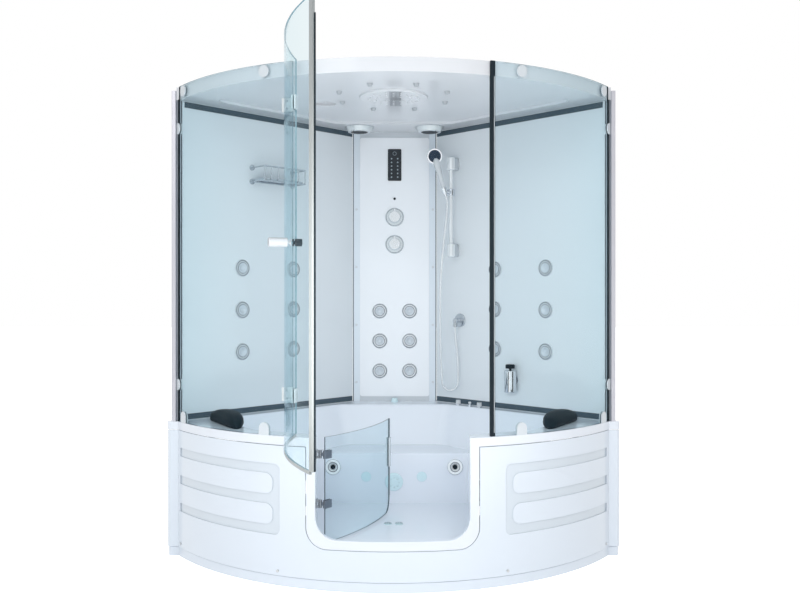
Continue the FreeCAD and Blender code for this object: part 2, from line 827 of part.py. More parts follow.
def make_column():
    z0, z1 = rim_z + seat_gap, ceiling_z - seat_gap
    half = column_half_width
    y0, y1 = column_face_y, column_face_y + housing_depth
    housing = box(-half, half, y0, y1, z0, z1).cut(
        box(-half + housing_wall, half - housing_wall, y0 + housing_wall, y1 + 1, z0 - 1, z1 + 1))
    front = y0 - panel_proud
    panel = box(-column_panel_half, column_panel_half, front, y0, column_panel_bottom, column_panel_top)
    panel = rounded_edges(panel, column_panel_round, lambda e: e.BoundBox.YLength > 1 and
                          e.BoundBox.XLength < 0.01 and e.BoundBox.ZLength < 0.01)
    for x, z in column_jets():
        bore = rod(jet_bore_r, vec(x, front - 1, z), vec(x, y1, z))
        housing, panel = housing.cut(bore), panel.cut(bore)
    for z in knob_z:
        bore = rod(valve_r + seat_gap, vec(0, front - 1, z), vec(0, y1, z))
        housing, panel = housing.cut(bore), panel.cut(bore)
    trims = box(column_panel_half + 0.5, half, y0 - trim_thickness, y0, z0, z1)
    caps = []
    for z in trim_cap_z:
        place = vec((column_panel_half + half) / 2, y0 - trim_thickness, z)
        cap = Part.makeSphere(trim_cap_r, place, vec(0, -1, 0), 0, 90, 360)
        cap = cap.common(box(-half, half, place.y - trim_cap_height, place.y, z - 20, z + 20))
        caps += both_sides(cap)
    save("column_housing", housing)
    save("column_panel", panel)
    save("column_trims", both_sides(trims))
    save("trim_screw_caps", caps)
    display_y = front - display_thickness
    low, high = display_z - display_height / 2, display_z + display_height / 2
    display = box(-display_width / 2, display_width / 2, display_y, front, low, high)
    display = rounded_edges(display, 6.0, lambda e: e.BoundBox.YLength > 1 and e.BoundBox.ZLength < 0.01
                            and e.BoundBox.XLength < 0.01)
    sensor = rod(sensor_r, vec(0, front - 3, sensor_z), vec(0, front, sensor_z))
    save("display_panel", [display, sensor])


def column_jets():
    return [(x, z) for x in (-jet_column_x, jet_column_x) for z in jet_column_z]


def jet():
    """A body jet with its face on y = 0 and its nozzle through a bore behind it."""
    rosette = rod(jet_r, vec(0, -jet_thickness, 0), vec(0, 0, 0))
    rosette = rounded_edges(rosette, jet_thickness * 0.6, lambda e: e.BoundBox.YMax < -jet_thickness + 0.1)
    rosette = rosette.cut(rod(jet_nozzle_r + seat_gap, vec(0, -jet_thickness - 1, 0), vec(0, 1, 0)))
    nozzle = rod(jet_nozzle_r, vec(0, -jet_thickness - 2, 0), vec(0, jet_nozzle_length, 0))
    nozzle = nozzle.cut(Part.makeCone(jet_nozzle_r * 0.8, jet_nozzle_r * 0.3, 7.0,
                                      vec(0, -jet_thickness - 2.01, 0), vec(0, 1, 0)))
    return rosette, nozzle


def make_jets():
    rosette, nozzle = jet()
    rosettes, nozzles = [], []
    for x, z in column_jets():
        for shape, group in ((rosette, rosettes), (nozzle, nozzles)):
            group.append(shape.translated(vec(x, column_face_y - panel_proud, z)))
    for s in jet_wall_s:
        for z in jet_wall_z:
            for shape, group in ((rosette, rosettes), (nozzle, nozzles)):
                placed = shape.translated(vec(s, 0, z))
                group += [wall_place(placed), right_wall_place(placed)]
    save("jet_rosettes", rosettes)
    save("jet_nozzles", nozzles)


def make_knobs():
    front = column_face_y - panel_proud
    face = front - knob_rosette_thickness
    valves, rosettes = [], []
    for name, z in zip(("diverter_knob", "temperature_knob"), knob_z):
        rosette = rod(knob_rosette_r, vec(0, face, z), vec(0, front, z))
        rosette = rounded_edges(rosette, knob_rosette_thickness * 0.5, lambda e: e.BoundBox.YMax < face + 0.1)
        rosettes.append(rosette.cut(rod(knob_shaft_r + 2, vec(0, face - 1, z), vec(0, front + 1, z))))
        valve = rod(valve_r, vec(0, front + seat_gap, z), vec(0, front + valve_depth, z))
        bore_end = front + valve_depth * 0.6
        bore = rod(knob_shaft_r + shaft_clearance, vec(0, face - 1, z), vec(0, bore_end, z))
        valves.append(valve.cut(bore))
        knob_face = face - knob_stand
        grip = Part.makeCone(knob_r, knob_r * 0.86, knob_length, vec(0, knob_face, z), vec(0, -1, 0))
        lever = box(-3.5, 3.5, knob_face - knob_length - 3, knob_face - knob_length * 0.4, z, z + knob_r + 9)
        shaft = rod(knob_shaft_r, vec(0, knob_face - 5, z), vec(0, bore_end - 2, z))
        save(name, fuse([grip, lever, shaft]))
    pipes = []
    for side in (-1, 1):
        x = side * valve_r * 0.5
        y = front + valve_depth * 0.8
        middle = sum(knob_z) / 2
        inlet_x = side * inlet_spacing / 2
        inlet_end = vec(inlet_x, y + inlet_length, middle)
        spigot_start = vec(inlet_x, inlet_end.y - inlet_spigot_length, middle)
        pipes += [rod(7.0, vec(x, y, knob_z[0]), vec(x, y, knob_z[1])),
                  rod(7.0, vec(x, y, middle), vec(inlet_x, y, middle)),
                  rod(inlet_boss_r, vec(inlet_x, y - 12, middle), spigot_start),
                  rod(inlet_r, spigot_start, inlet_end)]
    save("mixer_valve", [fuse(valves + pipes)] + rosettes)


# ---------------------------------------------------------------- roof

def make_roof():
    top = roof_top
    tray = plan_prism(roof_inset, ceiling_z, top, 8.0)
    tray = tray.cut(plan_prism(roof_inset + roof_wall, ceiling_z + roof_wall, top + 1))
    flange = plan_prism(roof_inset, top - roof_wall, top, 8.0)
    flange = flange.cut(plan_prism(roof_inset + roof_flange, top - roof_wall - 1, top + 1))

    def step(inset, z0, z1):
        block = prism(outline(inset), z0, z1).common(
            box(-2000, 2000, -2000, ceiling_step_rear_y - inset + ceiling_step_inset, z0, z1))
        return rounded_edges(block, ceiling_step_round, upright)
    raised = ceiling_z + ceiling_step
    tray = tray.multiFuse([flange, step(ceiling_step_inset - roof_wall, ceiling_z + 1, raised + roof_wall)])
    tray = tray.cut(step(ceiling_step_inset, ceiling_z - 1, raised))
    tray = tray.cut(rod(rain_stem_r + seat_gap, vec(0, rain_head_y, ceiling_z), vec(0, rain_head_y, top)))
    for x in (-ceiling_light_x, ceiling_light_x):
        tray = tray.cut(rod(ceiling_light_lens_r - 4, vec(x, ceiling_light_y, ceiling_z - 1),
                            vec(x, ceiling_light_y, top - 20)))
    tray = tray.cut(rod(fan_r * 0.8, vec(fan_x, fan_y, ceiling_z), vec(fan_x, fan_y, top)))
    for x, y in nozzle_spots():
        tray = tray.cut(rod(5.0, vec(x, y, ceiling_z), vec(x, y, top)))
    half = post_centre_x - post_width / 2 - seat_gap
    save("roof_shell", tray.common(box(-half, half, -2000, 2000, ceiling_z, top)).removeSplitter())


def nozzle_spots():
    spots = []
    for index in range(ceiling_nozzle_count):
        angle = 2 * math.pi * (index + 0.5) / ceiling_nozzle_count
        spots.append((ceiling_nozzle_circle * math.sin(angle),
                      rain_head_y + ceiling_nozzle_circle * math.cos(angle)))
    return spots


def make_roof_fittings():
    under = ceiling_z + ceiling_step
    low = under - rain_head_thickness
    head = rod(rain_head_r, vec(0, rain_head_y, low), vec(0, rain_head_y, under - seat_gap))
    head = rounded_edges(head, 4.0, at_height(low))
    half = grille_width / 2
    slot_pitch = grille_length / 9
    for index in range(9):
        x = -grille_length / 2 + slot_pitch * (index + 0.5)
        head = head.cut(box(x - slot_pitch * 0.25, x + slot_pitch * 0.25, rain_head_y - half,
                            rain_head_y + half, low - 1, low + 3))
    stem = rod(rain_stem_r, vec(0, rain_head_y, under - 2), vec(0, rain_head_y, under + 34))
    elbow = rod(rain_stem_r, vec(0, rain_head_y, under + 34 - rain_stem_r),
                vec(0, rain_head_y + 120, under + 34 - rain_stem_r))
    tips = []
    for radius, count in zip(spray_ring_r, spray_ring_count):
        for index in range(count):
            angle = 2 * math.pi * index / count
            x, y = radius * math.sin(angle), radius * math.cos(angle)
            if abs(x) > grille_length / 2 + spray_r or abs(y) > half + spray_r:
                tips.append(rod(spray_r, vec(x, rain_head_y + y, low - spray_length),
                                vec(x, rain_head_y + y, low + 1)))
    save("rain_head", fuse([head, stem, elbow] + tips))
    nozzles = []
    for x, y in nozzle_spots():
        body = Part.makeCone(ceiling_nozzle_r * 0.6, ceiling_nozzle_r, ceiling_nozzle_length,
                             vec(x, y, under - seat_gap - ceiling_nozzle_length))
        nozzles.append(body.fuse(rod(4.5, vec(x, y, under - 2), vec(x, y, under + 14))))
    save("ceiling_nozzles", nozzles)
    lights = []
    for x in (-ceiling_light_x, ceiling_light_x):
        base = vec(x, ceiling_light_y, ceiling_z - seat_gap)
        ring = Part.makeCone(ceiling_light_r, ceiling_light_r * 0.8, ceiling_light_drop, base, vec(0, 0, -1))
        hollow = Part.makeCone(ceiling_light_lens_r * 0.8, ceiling_light_lens_r, 8.0,
                               base - vec(0, 0, ceiling_light_drop - 7.99), vec(0, 0, -1))
        can = rod(ceiling_light_lens_r - 5, base - vec(0, 0, 5), base + vec(0, 0, 40))
        lights.append(ring.cut(hollow).fuse(can))
    save("ceiling_lights", lights)
    floor = under + roof_wall
    outer = rod(fan_r, vec(fan_x, fan_y, floor), vec(fan_x, fan_y, floor + fan_height))
    duct = rod(fan_r - 3, vec(fan_x, fan_y, floor - 1), vec(fan_x, fan_y, floor + fan_height + 1))
    bridge = box(fan_x - fan_r + 1, fan_x + fan_r - 1, fan_y - 6, fan_y + 6, floor, floor + 3)
    bore = rod(fan_shaft_r + shaft_clearance, vec(fan_x, fan_y, floor - 1), vec(fan_x, fan_y, floor + 60))
    boss = rod(fan_shaft_r * 2, vec(fan_x, fan_y, floor), vec(fan_x, fan_y, floor + 10))
    save("fan_housing", fuse([outer.cut(duct), bridge, boss]).cut(bore))
    hub_low = floor + 10 + fan_gap
    hub_top = floor + fan_height - 2
    rotor = [rod(fan_hub_r, vec(fan_x, fan_y, hub_low), vec(fan_x, fan_y, hub_top)),
             rod(fan_shaft_r, vec(fan_x, fan_y, floor + 1), vec(fan_x, fan_y, hub_low + 5))]
    for index in range(fan_blade_count):
        blade = box(fan_hub_r - 2, fan_r - 3 - fan_gap, -1, 1, -9, 9)
        blade.rotate(vec(0, 0, 0), vec(1, 0, 0), 40)
        blade.rotate(vec(0, 0, 0), Z, 360.0 * index / fan_blade_count)
        rotor.append(blade.translated(vec(fan_x, fan_y, (hub_low + hub_top) / 2)))
    save("fan_rotor", fuse(rotor))


# ---------------------------------------------------------------- fixed glass

def pane_z():
    return rim_z + pane_gap, roof_top


def glass_bend(x0, x1, z0, z1, out=0.0, inward=0.0):
    """A stretch of the glass line between two x places, thickened outwards and inwards."""
    return bend(glass_inner - inward, glass_outer + out, arc_angle(x0, glass_outer),
                arc_angle(x1, glass_outer), z0, z1)


def before_fascia(shape):
    """Trim a piece of the glass front where it stands before the roof's edge."""
    return shape.cut(drum(front_radius - roof_inset + fascia_gap, ceiling_z - 2, roof_top + 1))


def radial_rod(radius, angle, r0, r1, z):
    return rod(radius, on_arc(r0, angle, z), on_arc(r1, angle, z))


def hinge_bolts(side, radius):
    """Bolt shanks of one upper hinge: side -1 on the fixed pane and +1 on the door."""
    shanks = []
    x = door_pivot_x + side * (hinge_web + hinge_plate_width * 0.5)
    for z in door_hinge_z:
        for rise in (-0.28, 0.28):
            shanks.append(radial_rod(radius, arc_angle(x, glass_outer), glass_inner - 3, glass_outer + 3,
                                     z + rise * hinge_plate_height))
    return shanks


def make_panes():
    z0, z1 = pane_z()
    left = glass_bend(-pane_end_x, -pane_hinge_x, z0, z1)
    for shank in hinge_bolts(-1, 4.3):
        left = left.cut(shank)
    right = glass_bend(pane_free_x, pane_end_x, z0, z1)
    for x in clamp_x:
        angle = arc_angle(x, glass_outer)
        hole = radial_rod(5.0, angle, glass_inner - 3, glass_outer + 3, ceiling_z + roof_height / 2)
        left, right = left.cut(mirrored(hole)), right.cut(hole)
    save("left_glass", left)
    save("right_glass", right)
    post_side = post_centre_x - post_width / 2 - seat_gap
    seal = glass_bend(pane_end_x + seat_gap, post_side + 12, z0, ceiling_z - seat_gap, 3.0, 3.0)
    seal = seal.cut(box(post_side, 1200, -400, 400, 0, 2500))
    for z in post_clamp_z:
        half = post_clamp_r + seat_gap
        seal = seal.cut(box(900, 1200, -400, 400, z - half, z + half))
    free = glass_bend(pane_free_x - seat_gap - gasket_width, pane_free_x - seat_gap, z0, z1,
                      gasket_proud, gasket_proud)
    save("glass_gaskets", both_sides(seal) + [before_fascia(free)])


def make_clamps():
    clamps = []
    fascia = front_radius - roof_inset
    for x in clamp_x:
        angle = arc_angle(x, glass_outer)
        z = ceiling_z + roof_height / 2
        cap = radial_rod(clamp_width / 2, angle, glass_outer + seat_gap, glass_outer + clamp_thickness, z)
        spacer = radial_rod(9.0, angle, fascia + seat_gap, glass_inner - seat_gap, z)
        clamps += both_sides(fuse([cap, spacer, radial_rod(4.0, angle, fascia + 0.5, glass_outer + 2, z)]))
        z0 = rim_z + seat_gap
        half = clamp_width / 2 / front_radius
        grip = bend(glass_inner - seat_gap - rim_tab_thickness, glass_outer + seat_gap + rim_tab_thickness,
                    angle - half, angle + half, z0, z0 + clamp_height)
        round_top = radial_rod(clamp_width / 2, angle, glass_inner - 9, glass_outer + 9,
                               z0 + clamp_height - clamp_width / 2)
        grip = grip.common(round_top.fuse(box(x - clamp_width, x + clamp_width, -front_radius, 200, z0,
                                              z0 + clamp_height - clamp_width / 2)))
        slot = bend(glass_inner - seat_gap, glass_outer + seat_gap, angle - 0.1, angle + 0.1,
                    rim_z + pane_gap - seat_gap, rim_z + 200)
        clamps += both_sides(grip.cut(slot))
    post_side = post_centre_x - post_width / 2 - seat_gap
    middle = arc_angle(pane_end_x + 6, glass_outer)
    for z in post_clamp_z:
        disc = radial_rod(post_clamp_r, middle, glass_inner - clamp_thickness, glass_outer + clamp_thickness, z)
        slot = glass_bend(pane_end_x - 100, pane_end_x + seat_gap, z - 100, z + 100, seat_gap, seat_gap)
        side = glass_bend(pane_end_x - 60, pane_end_x + 60, z - post_clamp_r * 0.7, z + post_clamp_r * 0.7,
                          30.0, 30.0)
        web = disc.common(glass_bend(pane_end_x - 60, pane_end_x + 60, z - 100, z + 100, seat_gap, seat_gap))
        disc = disc.cut(slot).cut(web.cut(side)).cut(box(post_side, 1200, -400, 400, z - 60, z + 60))
        disc = disc.cut(right_wall_place(box(-seat_gap, 100, -50, 100, z - 60, z + 60)))
        clamps += both_sides(disc)
    save("pane_clamps", clamps)


# ---------------------------------------------------------------- upper door

def door_pivot():
    radius = glass_outer + door_pivot_out
    return on_arc(radius, arc_angle(door_pivot_x, radius))


def swung(shape):
    """Turn a piece of the closed upper door to the open pose that it rests in."""
    turned = shape.copy()
    turned.rotate(door_pivot(), Z, -door_open)
    return turned


def hinge_half(side, pivot, bore):
    """One half of an upper hinge with its plates on both faces of the glass; side -1 is fixed."""
    halves = []
    near = door_pivot_x + side * 1.0
    clear = door_pivot_x + side * hinge_web
    far = door_pivot_x + side * (hinge_web + hinge_plate_width)
    for z in door_hinge_z:
        z0, z1 = z - hinge_plate_height / 2, z + hinge_plate_height / 2
        moving = hinge_plate_height * knuckle_share / 2
        outer = bend(glass_outer + seat_gap, glass_outer + seat_gap + hinge_plate_thickness,
                     arc_angle(min(near, far), glass_outer), arc_angle(max(near, far), glass_outer), z0, z1)
        inner = bend(glass_inner - seat_gap - hinge_plate_thickness, glass_inner - seat_gap,
                     arc_angle(min(clear, far), glass_outer), arc_angle(max(clear, far), glass_outer), z0, z1)
        ends = [(z0, z - moving - knuckle_gap), (z + moving + knuckle_gap, z1)]
        own = ends if side < 0 else [(z - moving, z + moving)]
        other = [(z - moving - knuckle_gap, z + moving + knuckle_gap)] if side < 0 else [
            (z0 - 1, z - moving), (z + moving, z1 + 1)]
        barrel = [rod(knuckle_r, pivot + Z * low, pivot + Z * high) for low, high in own]
        for low, high in other:
            outer = outer.cut(rod(knuckle_r + 0.6, pivot + Z * low, pivot + Z * high))
        bolts = [shank for shank in hinge_bolts(side, 4.0) if abs(shank.BoundBox.Center.z - z) < 50]
        half = fuse([outer, inner] + barrel + bolts)
        halves.append(half.cut(rod(bore, pivot + Z * (z0 - 1), pivot + Z * (z1 + 1))))
    return halves


def make_door():
    pivot = door_pivot()
    leaf = glass_bend(door_hinge_edge_x, door_free_edge_x, door_bottom_z, roof_top)
    for shank in hinge_bolts(1, 4.3):
        leaf = leaf.cut(shank)
    angle = arc_angle(door_free_edge_x, glass_outer) - handle_from_edge / glass_outer
    leaf = leaf.cut(radial_rod(5.0, angle, glass_inner - 3, glass_outer + 3, handle_z))
    save("door_glass", swung(leaf))
    edge = glass_bend(door_free_edge_x + seat_gap, door_free_edge_x + seal_width, door_bottom_z, roof_top,
                      (seal_depth - glass) / 2, (seal_depth - glass) / 2)
    sweep = glass_bend(door_hinge_edge_x + 12, door_free_edge_x - 2, door_bottom_z - bottom_seal_height,
                       door_bottom_z - seat_gap, 1.0, 1.0)
    save("door_seals", [swung(before_fascia(edge)), swung(sweep)])
    save("door_hinge_leaves", [swung(half) for half in hinge_half(1, pivot, hinge_pin_r + shaft_clearance)])
    pins = [rod(hinge_pin_r, pivot + Z * (z - hinge_plate_height / 2), pivot + Z * (z + hinge_plate_height / 2))
            for z in door_hinge_z]
    save("door_hinge_mounts", hinge_half(-1, pivot, hinge_pin_r) + pins)
    out = glass_outer + seat_gap
    inn = glass_inner - seat_gap
    grip = radial_rod(handle_r, angle, out + 12, out + 12 + handle_length, handle_z)
    grip = rounded_edges(grip, 3.0, lambda e: e.Length > 50 and len(e.Vertexes) == 1)
    pull = fuse([
        radial_rod(handle_rose_r, angle, out, out + handle_rose_thickness, handle_z), grip,
        radial_rod(handle_stem_r, angle, out, out + 13, handle_z),
        radial_rod(4.5, angle, inn - 2, out + 2, handle_z),
        radial_rod(handle_rose_r, angle, inn - handle_rose_thickness, inn, handle_z),
        radial_rod(handle_stem_r * 0.8, angle, inn - 12, inn, handle_z),
        radial_rod(inner_knob_r, angle, inn - 10 - inner_knob_length, inn - 10, handle_z)])
    save("door_handle", swung(pull))


# ---------------------------------------------------------------- tub door

def tub_swung(shape):
    turned = shape.copy()
    turned.rotate(vec(*tub_pivot), Z, tub_door_open)
    return turned


def leaf_bend(x0, x1, z0, z1, out=0.0, inward=0.0):
    radius = tub_leaf_radius
    return bend(radius - glass - inward, radius + out, arc_angle(x0, radius), arc_angle(x1, radius), z0, z1)


def make_tub_door():
    x0, x1 = tub_leaf_x
    leaf = leaf_bend(x0, x1, tub_leaf_bottom, tub_leaf_top)
    for side, radius in ((-1, tub_leaf_hinge_round), (1, tub_leaf_round)):
        leaf = rounded_edges(leaf, radius, lambda e: at_height(tub_leaf_bottom)(e) and
                             e.Length < glass * 1.5 and e.BoundBox.Center.x * side > 0)
    save("tub_door_glass", tub_swung(leaf))
    seal = leaf_bend(x1 + seat_gap, x1 + seat_gap + tub_seal_width, tub_leaf_bottom + tub_leaf_round,
                     tub_leaf_top, 1.5, 1.5)
    save("tub_door_seal", tub_swung(seal))
    pivot = vec(*tub_pivot)
    clamps, mounts, pins = [], [], []
    for z in tub_hinge_z:
        z0, z1 = z - tub_clamp_height / 2, z + tub_clamp_height / 2
        moving = tub_clamp_height * knuckle_share / 2
        wide = leaf_bend(x0 - 4, x0 + tub_clamp_width, z0, z1, tub_clamp_thickness, tub_clamp_thickness)
        slot = leaf_bend(x0 - seat_gap, x0 + 100, z0 - 1, z1 + 1, seat_gap, seat_gap)
        inner = tub_leaf_radius - glass - tub_clamp_thickness
        start = on_arc(inner + 1, arc_angle(tub_pivot[0] + 4, inner))
        arm = box(tub_pivot[0] - 2, tub_pivot[0] + 8, start.y - 1, tub_pivot[1], z - moving, z + moving)
        barrel = rod(tub_knuckle_r, pivot + Z * (z - moving), pivot + Z * (z + moving))
        clamp = fuse([wide.cut(slot), arm, barrel])
        bore = rod(hinge_pin_r + shaft_clearance, pivot + Z * (z0 - 1), pivot + Z * (z1 + 1))
        clamps.append(clamp.cut(bore))
        jamb = -doorway_half + seat_gap
        half = tub_knuckle_r + 8
        base = box(jamb, jamb + tub_hinge_plate, pivot.y - half, pivot.y + half + 14, z0, z1)
        knuckles = []
        for low, high in ((z0, z - moving - knuckle_gap), (z + moving + knuckle_gap, z1)):
            knuckles.append(rod(tub_knuckle_r, pivot + Z * low, pivot + Z * high))
            knuckles.append(box(jamb + 1, pivot.x, pivot.y - 4, pivot.y + tub_knuckle_r, low, high))
        mount = fuse([base] + knuckles)
        mounts.append(mount.cut(rod(hinge_pin_r, pivot + Z * (z0 - 1), pivot + Z * (z1 + 1))))
        pins.append(rod(hinge_pin_r, pivot + Z * z0, pivot + Z * z1))
    save("tub_door_clamps", [tub_swung(clamp) for clamp in clamps])
    save("tub_door_hinges", mounts + pins)
    z0, z1 = tub_handle_z
    grip = leaf_bend(x1 - tub_handle_width - 2, x1 - 2, z0, z1, tub_handle_thickness, tub_handle_thickness)
    slot = leaf_bend(x1 - 60, x1 + 60, z0 - 1, z1 + 1, seat_gap, seat_gap)
    sides = grip.cut(slot).Solids
    save("tub_door_handle", [tub_swung(side) for side in sides])


# ---------------------------------------------------------------- pillows

def pillow():
    """Leaf-shaped head rest, lofted along its length through crowned sections."""
    stations = ((-0.5, 0.16), (-0.36, 0.66), (-0.12, 0.98), (0.12, 1.0), (0.36, 0.7), (0.5, 0.16))
    wires = []
    for along, share in stations:
        half = pillow_width / 2 * share
        rise = pillow_thickness * (0.35 + 0.65 * share)
        low = pillow_thickness * 0.3
        x = along * pillow_length
        bow = 26.0 * (1 - (2 * along) ** 2)
        a, b = vec(x, bow - half * 0.86, 0), vec(x, bow + half * 0.86, 0)
        c, d = vec(x, bow + half * 0.8, rise * 0.78), vec(x, bow - half * 0.8, rise * 0.78)
        wires.append(Part.Wire([
            Part.LineSegment(a, b).toShape(),
            Part.Arc(b, vec(x, bow + half, low * (0.4 + share / 2)), c).toShape(),
            Part.Arc(c, vec(x, bow, rise), d).toShape(),
            Part.Arc(d, vec(x, bow - half, low * (0.4 + share / 2)), a).toShape()]))
    solid = Part.makeLoft(wires, True, False)
    solid.rotate(vec(0, 0, 0), Z, pillow_turn)
    return solid.translated(vec(pillow_centre[0], pillow_centre[1], rim_z + seat_gap))


def make_pillows():
    right = pillow()
    save("right_pillow", right)
    save("left_pillow", mirrored(right))


# ---------------------------------------------------------------- slide rail, hand shower, hose

def make_rail():
    low, high = slide_bar_z
    parts = [rod(slide_bar_r, right_wall_point(rail_s, rail_stand, low + 4),
                 right_wall_point(rail_s, rail_stand, high - 4))]
    for z in (low + bracket_height / 2, high - bracket_height / 2):
        grip = rod(bracket_r, right_wall_point(rail_s, rail_stand, z - bracket_height / 2),
                   right_wall_point(rail_s, rail_stand, z + bracket_height / 2))
        parts.append(rounded_edges(grip, 9.0, lambda e: len(e.Vertexes) == 1))
        parts.append(rod(bracket_stem_r, right_wall_point(rail_s, seat_gap, z),
                         right_wall_point(rail_s, rail_stand, z)))
        parts.append(rod(bracket_r, right_wall_point(rail_s, seat_gap, z), right_wall_point(rail_s, 5, z)))
    save("slide_rail", fuse(parts))


def handset_axis():
    return vec(handset_lean_x, handset_lean_y, 1.0).normalize()


def handset_place(shape):
    """Stand an upright shape on the handset's foot and lean it along the grip's axis."""
    placed = shape.copy()
    placed.Placement = FreeCAD.Placement(vec(*handset_foot), FreeCAD.Rotation(Z, handset_axis()))
    return placed


def tilt_start():
    return right_wall_point(rail_s, rail_stand, tilt_z)


def tilt_axis():
    foot = vec(*handset_foot)
    start = tilt_start()
    return vec(foot.x - start.x, foot.y - start.y, 0).normalize()


def make_slider():
    start, way = tilt_start(), tilt_axis()
    block = rod(slider_r, start - Z * slider_height / 2, start + Z * slider_height / 2)
    block = rounded_edges(block, 4.0, lambda e: len(e.Vertexes) == 1)
    block = block.fuse(rod(boss_r, start, start + way * boss_end))
    block = block.cut(rod(slide_bar_r + slider_clearance, start - Z * 60, start + Z * 60))
    socket = slide_bar_r + 5
    block = block.cut(rod(arm_r + shaft_clearance, start + way * socket, start + way * (boss_end + 1)))
    save("rail_slider", block)
    reach = (vec(handset_foot[0], handset_foot[1], tilt_z) - start).Length
    arm = rod(arm_r, start + way * (socket + 1), start + way * reach)
    ring = handset_place(rod(holder_r, vec(0, 0, -2), vec(0, 0, holder_height - 2)))
    bore = handset_place(rod(grip_foot_r + 0.35 + seat_gap, vec(0, 0, -30), vec(0, 0, holder_height + 30)))
    save("handset_holder", arm.fuse(ring).cut(bore).removeSplitter())


def make_handset():
    grip = Part.makeCone(grip_foot_r, grip_r, grip_length, vec(0, 0, 0))
    centre = grip_length + head_r - 6
    back = Part.makeCone(head_r, head_r * 0.7, head_thickness, vec(0, 0, centre), vec(0, 1, 0))
    face = rod(head_r, vec(0, -5, centre), vec(0, 0, centre))
    face = rounded_edges(face, 2.0, lambda e: len(e.Vertexes) == 1 and e.BoundBox.YMax < -4)
    spray = rod(face_r, vec(0, -6.5, centre), vec(0, -4, centre))
    neck = Part.makeCone(grip_r, grip_r * 1.2, 30, vec(0, 2, grip_length - 2), vec(0, 0.1, 1))
    nut = rod(nut_r, vec(0, 0, -nut_length), vec(0, 0, -2.5))
    stem = rod(grip_foot_r * 0.7, vec(0, 0, -nut_length + 2), vec(0, 0, 2))
    save("hand_shower", handset_place(fuse([grip, neck, back, face, spray, nut, stem])))


def hose_path(points):
    """Straight runs joined by arcs as large as the runs allow; prints each arc's radius."""
    edges, here, radii = [], points[0], []
    for before, corner, after in zip(points, points[1:], points[2:]):
        back, ahead = before - corner, after - corner
        shorter = min(back.Length, ahead.Length)
        back.normalize()
        ahead.normalize()
        turn = math.pi - back.getAngle(ahead)
        step = 0.45 * shorter
        radius = step / math.tan(turn / 2)
        radii.append(radius)
        centre = corner + (back + ahead).normalize() * (radius / math.cos(turn / 2))
        middle = centre + (corner - centre).normalize() * radius
        edges.append(Part.LineSegment(here, corner + back * step).toShape())
        edges.append(Part.Arc(corner + back * step, middle, corner + ahead * step).toShape())
        here = corner + ahead * step
    edges.append(Part.LineSegment(here, points[-1]).toShape())
    print("hose arc radii:", " ".join(f"{radius:.0f}" for radius in radii))
    return Part.Wire(edges)


def make_hose():
    axis = handset_axis()
    start = vec(*handset_foot) - axis * nut_length
    end = right_wall_point(outlet_s, outlet_stand, outlet_z - outlet_drop)
    lead = start - axis * 20.0
    points = [start, lead] + [vec(*point) for point in hose_route] + [end - Z * hose_end_run, end]
    path = hose_path(points)
    profile = Part.Wire([Part.Circle(start, axis, hose_r).toShape()])
    hose = path.makePipeShell([profile], True, True)
    share = hose.Volume / (math.pi * hose_r ** 2 * path.Length)
    print(f"hose length {path.Length:.0f}, volume share {share:.4f}")
    save("shower_hose", hose)
    wall = right_wall_point(outlet_s, seat_gap, outlet_z)
    out = right_wall_point(outlet_s, outlet_stand, outlet_z)
    rosette = rod(outlet_r, wall, right_wall_point(outlet_s, outlet_thickness, outlet_z))
    rosette = rounded_edges(rosette, 4.0, lambda e: len(e.Vertexes) == 1 and
                            e.BoundBox.Center.y < wall.y - 4)
    save("hose_outlet", fuse([rosette, rod(outlet_stub_r, wall, out), Part.makeSphere(outlet_stub_r, out),
                              rod(outlet_stub_r, out, end)]))


# ---------------------------------------------------------------- shelf and soap dispenser

def make_shelf():
    x0, x1 = shelf_s - shelf_length / 2, shelf_s + shelf_length / 2
    front, back = -shelf_depth, -8.0
    z0, z1 = shelf_z, shelf_z + shelf_glass
    plate = rounded_edges(box(x0, x1, front, back, z0, z1), 16.0,
                          lambda e: upright(e) and e.BoundBox.YMin < front + 1)
    rail_z = z1 + gallery_rise
    inset = wire_r
    fx0, fx1, fy = x0 - inset, x1 + inset, front - inset
    metal = []
    for z in (z0 - wire_r, rail_z):
        metal.append(rod(wire_r, vec(fx0, fy, z), vec(fx1, fy, z)))
        for x in (fx0, fx1):
            metal.append(rod(wire_r, vec(x, fy, z), vec(x, -seat_gap, z)))
            metal.append(Part.makeSphere(wire_r, vec(x, fy, z)))
    count = 6
    for index in range(count + 1):
        x = fx0 + (fx1 - fx0) * index / count
        metal.append(rod(wire_r * 0.7, vec(x, fy, z0 - wire_r), vec(x, fy, rail_z)))
    for x in (fx0, fx1):
        for z in (z0 - wire_r, rail_z):
            metal.append(rod(shelf_bracket_r, vec(x, -7, z), vec(x, -seat_gap, z)))
    metal.append(rod(wire_r, vec(fx0, back / 2 - 3, z0 - wire_r), vec(fx1, back / 2 - 3, z0 - wire_r)))
    save("shelf", [wall_place(plate.translated(vec(0, 0, 0.1))), wall_place(fuse(metal))])


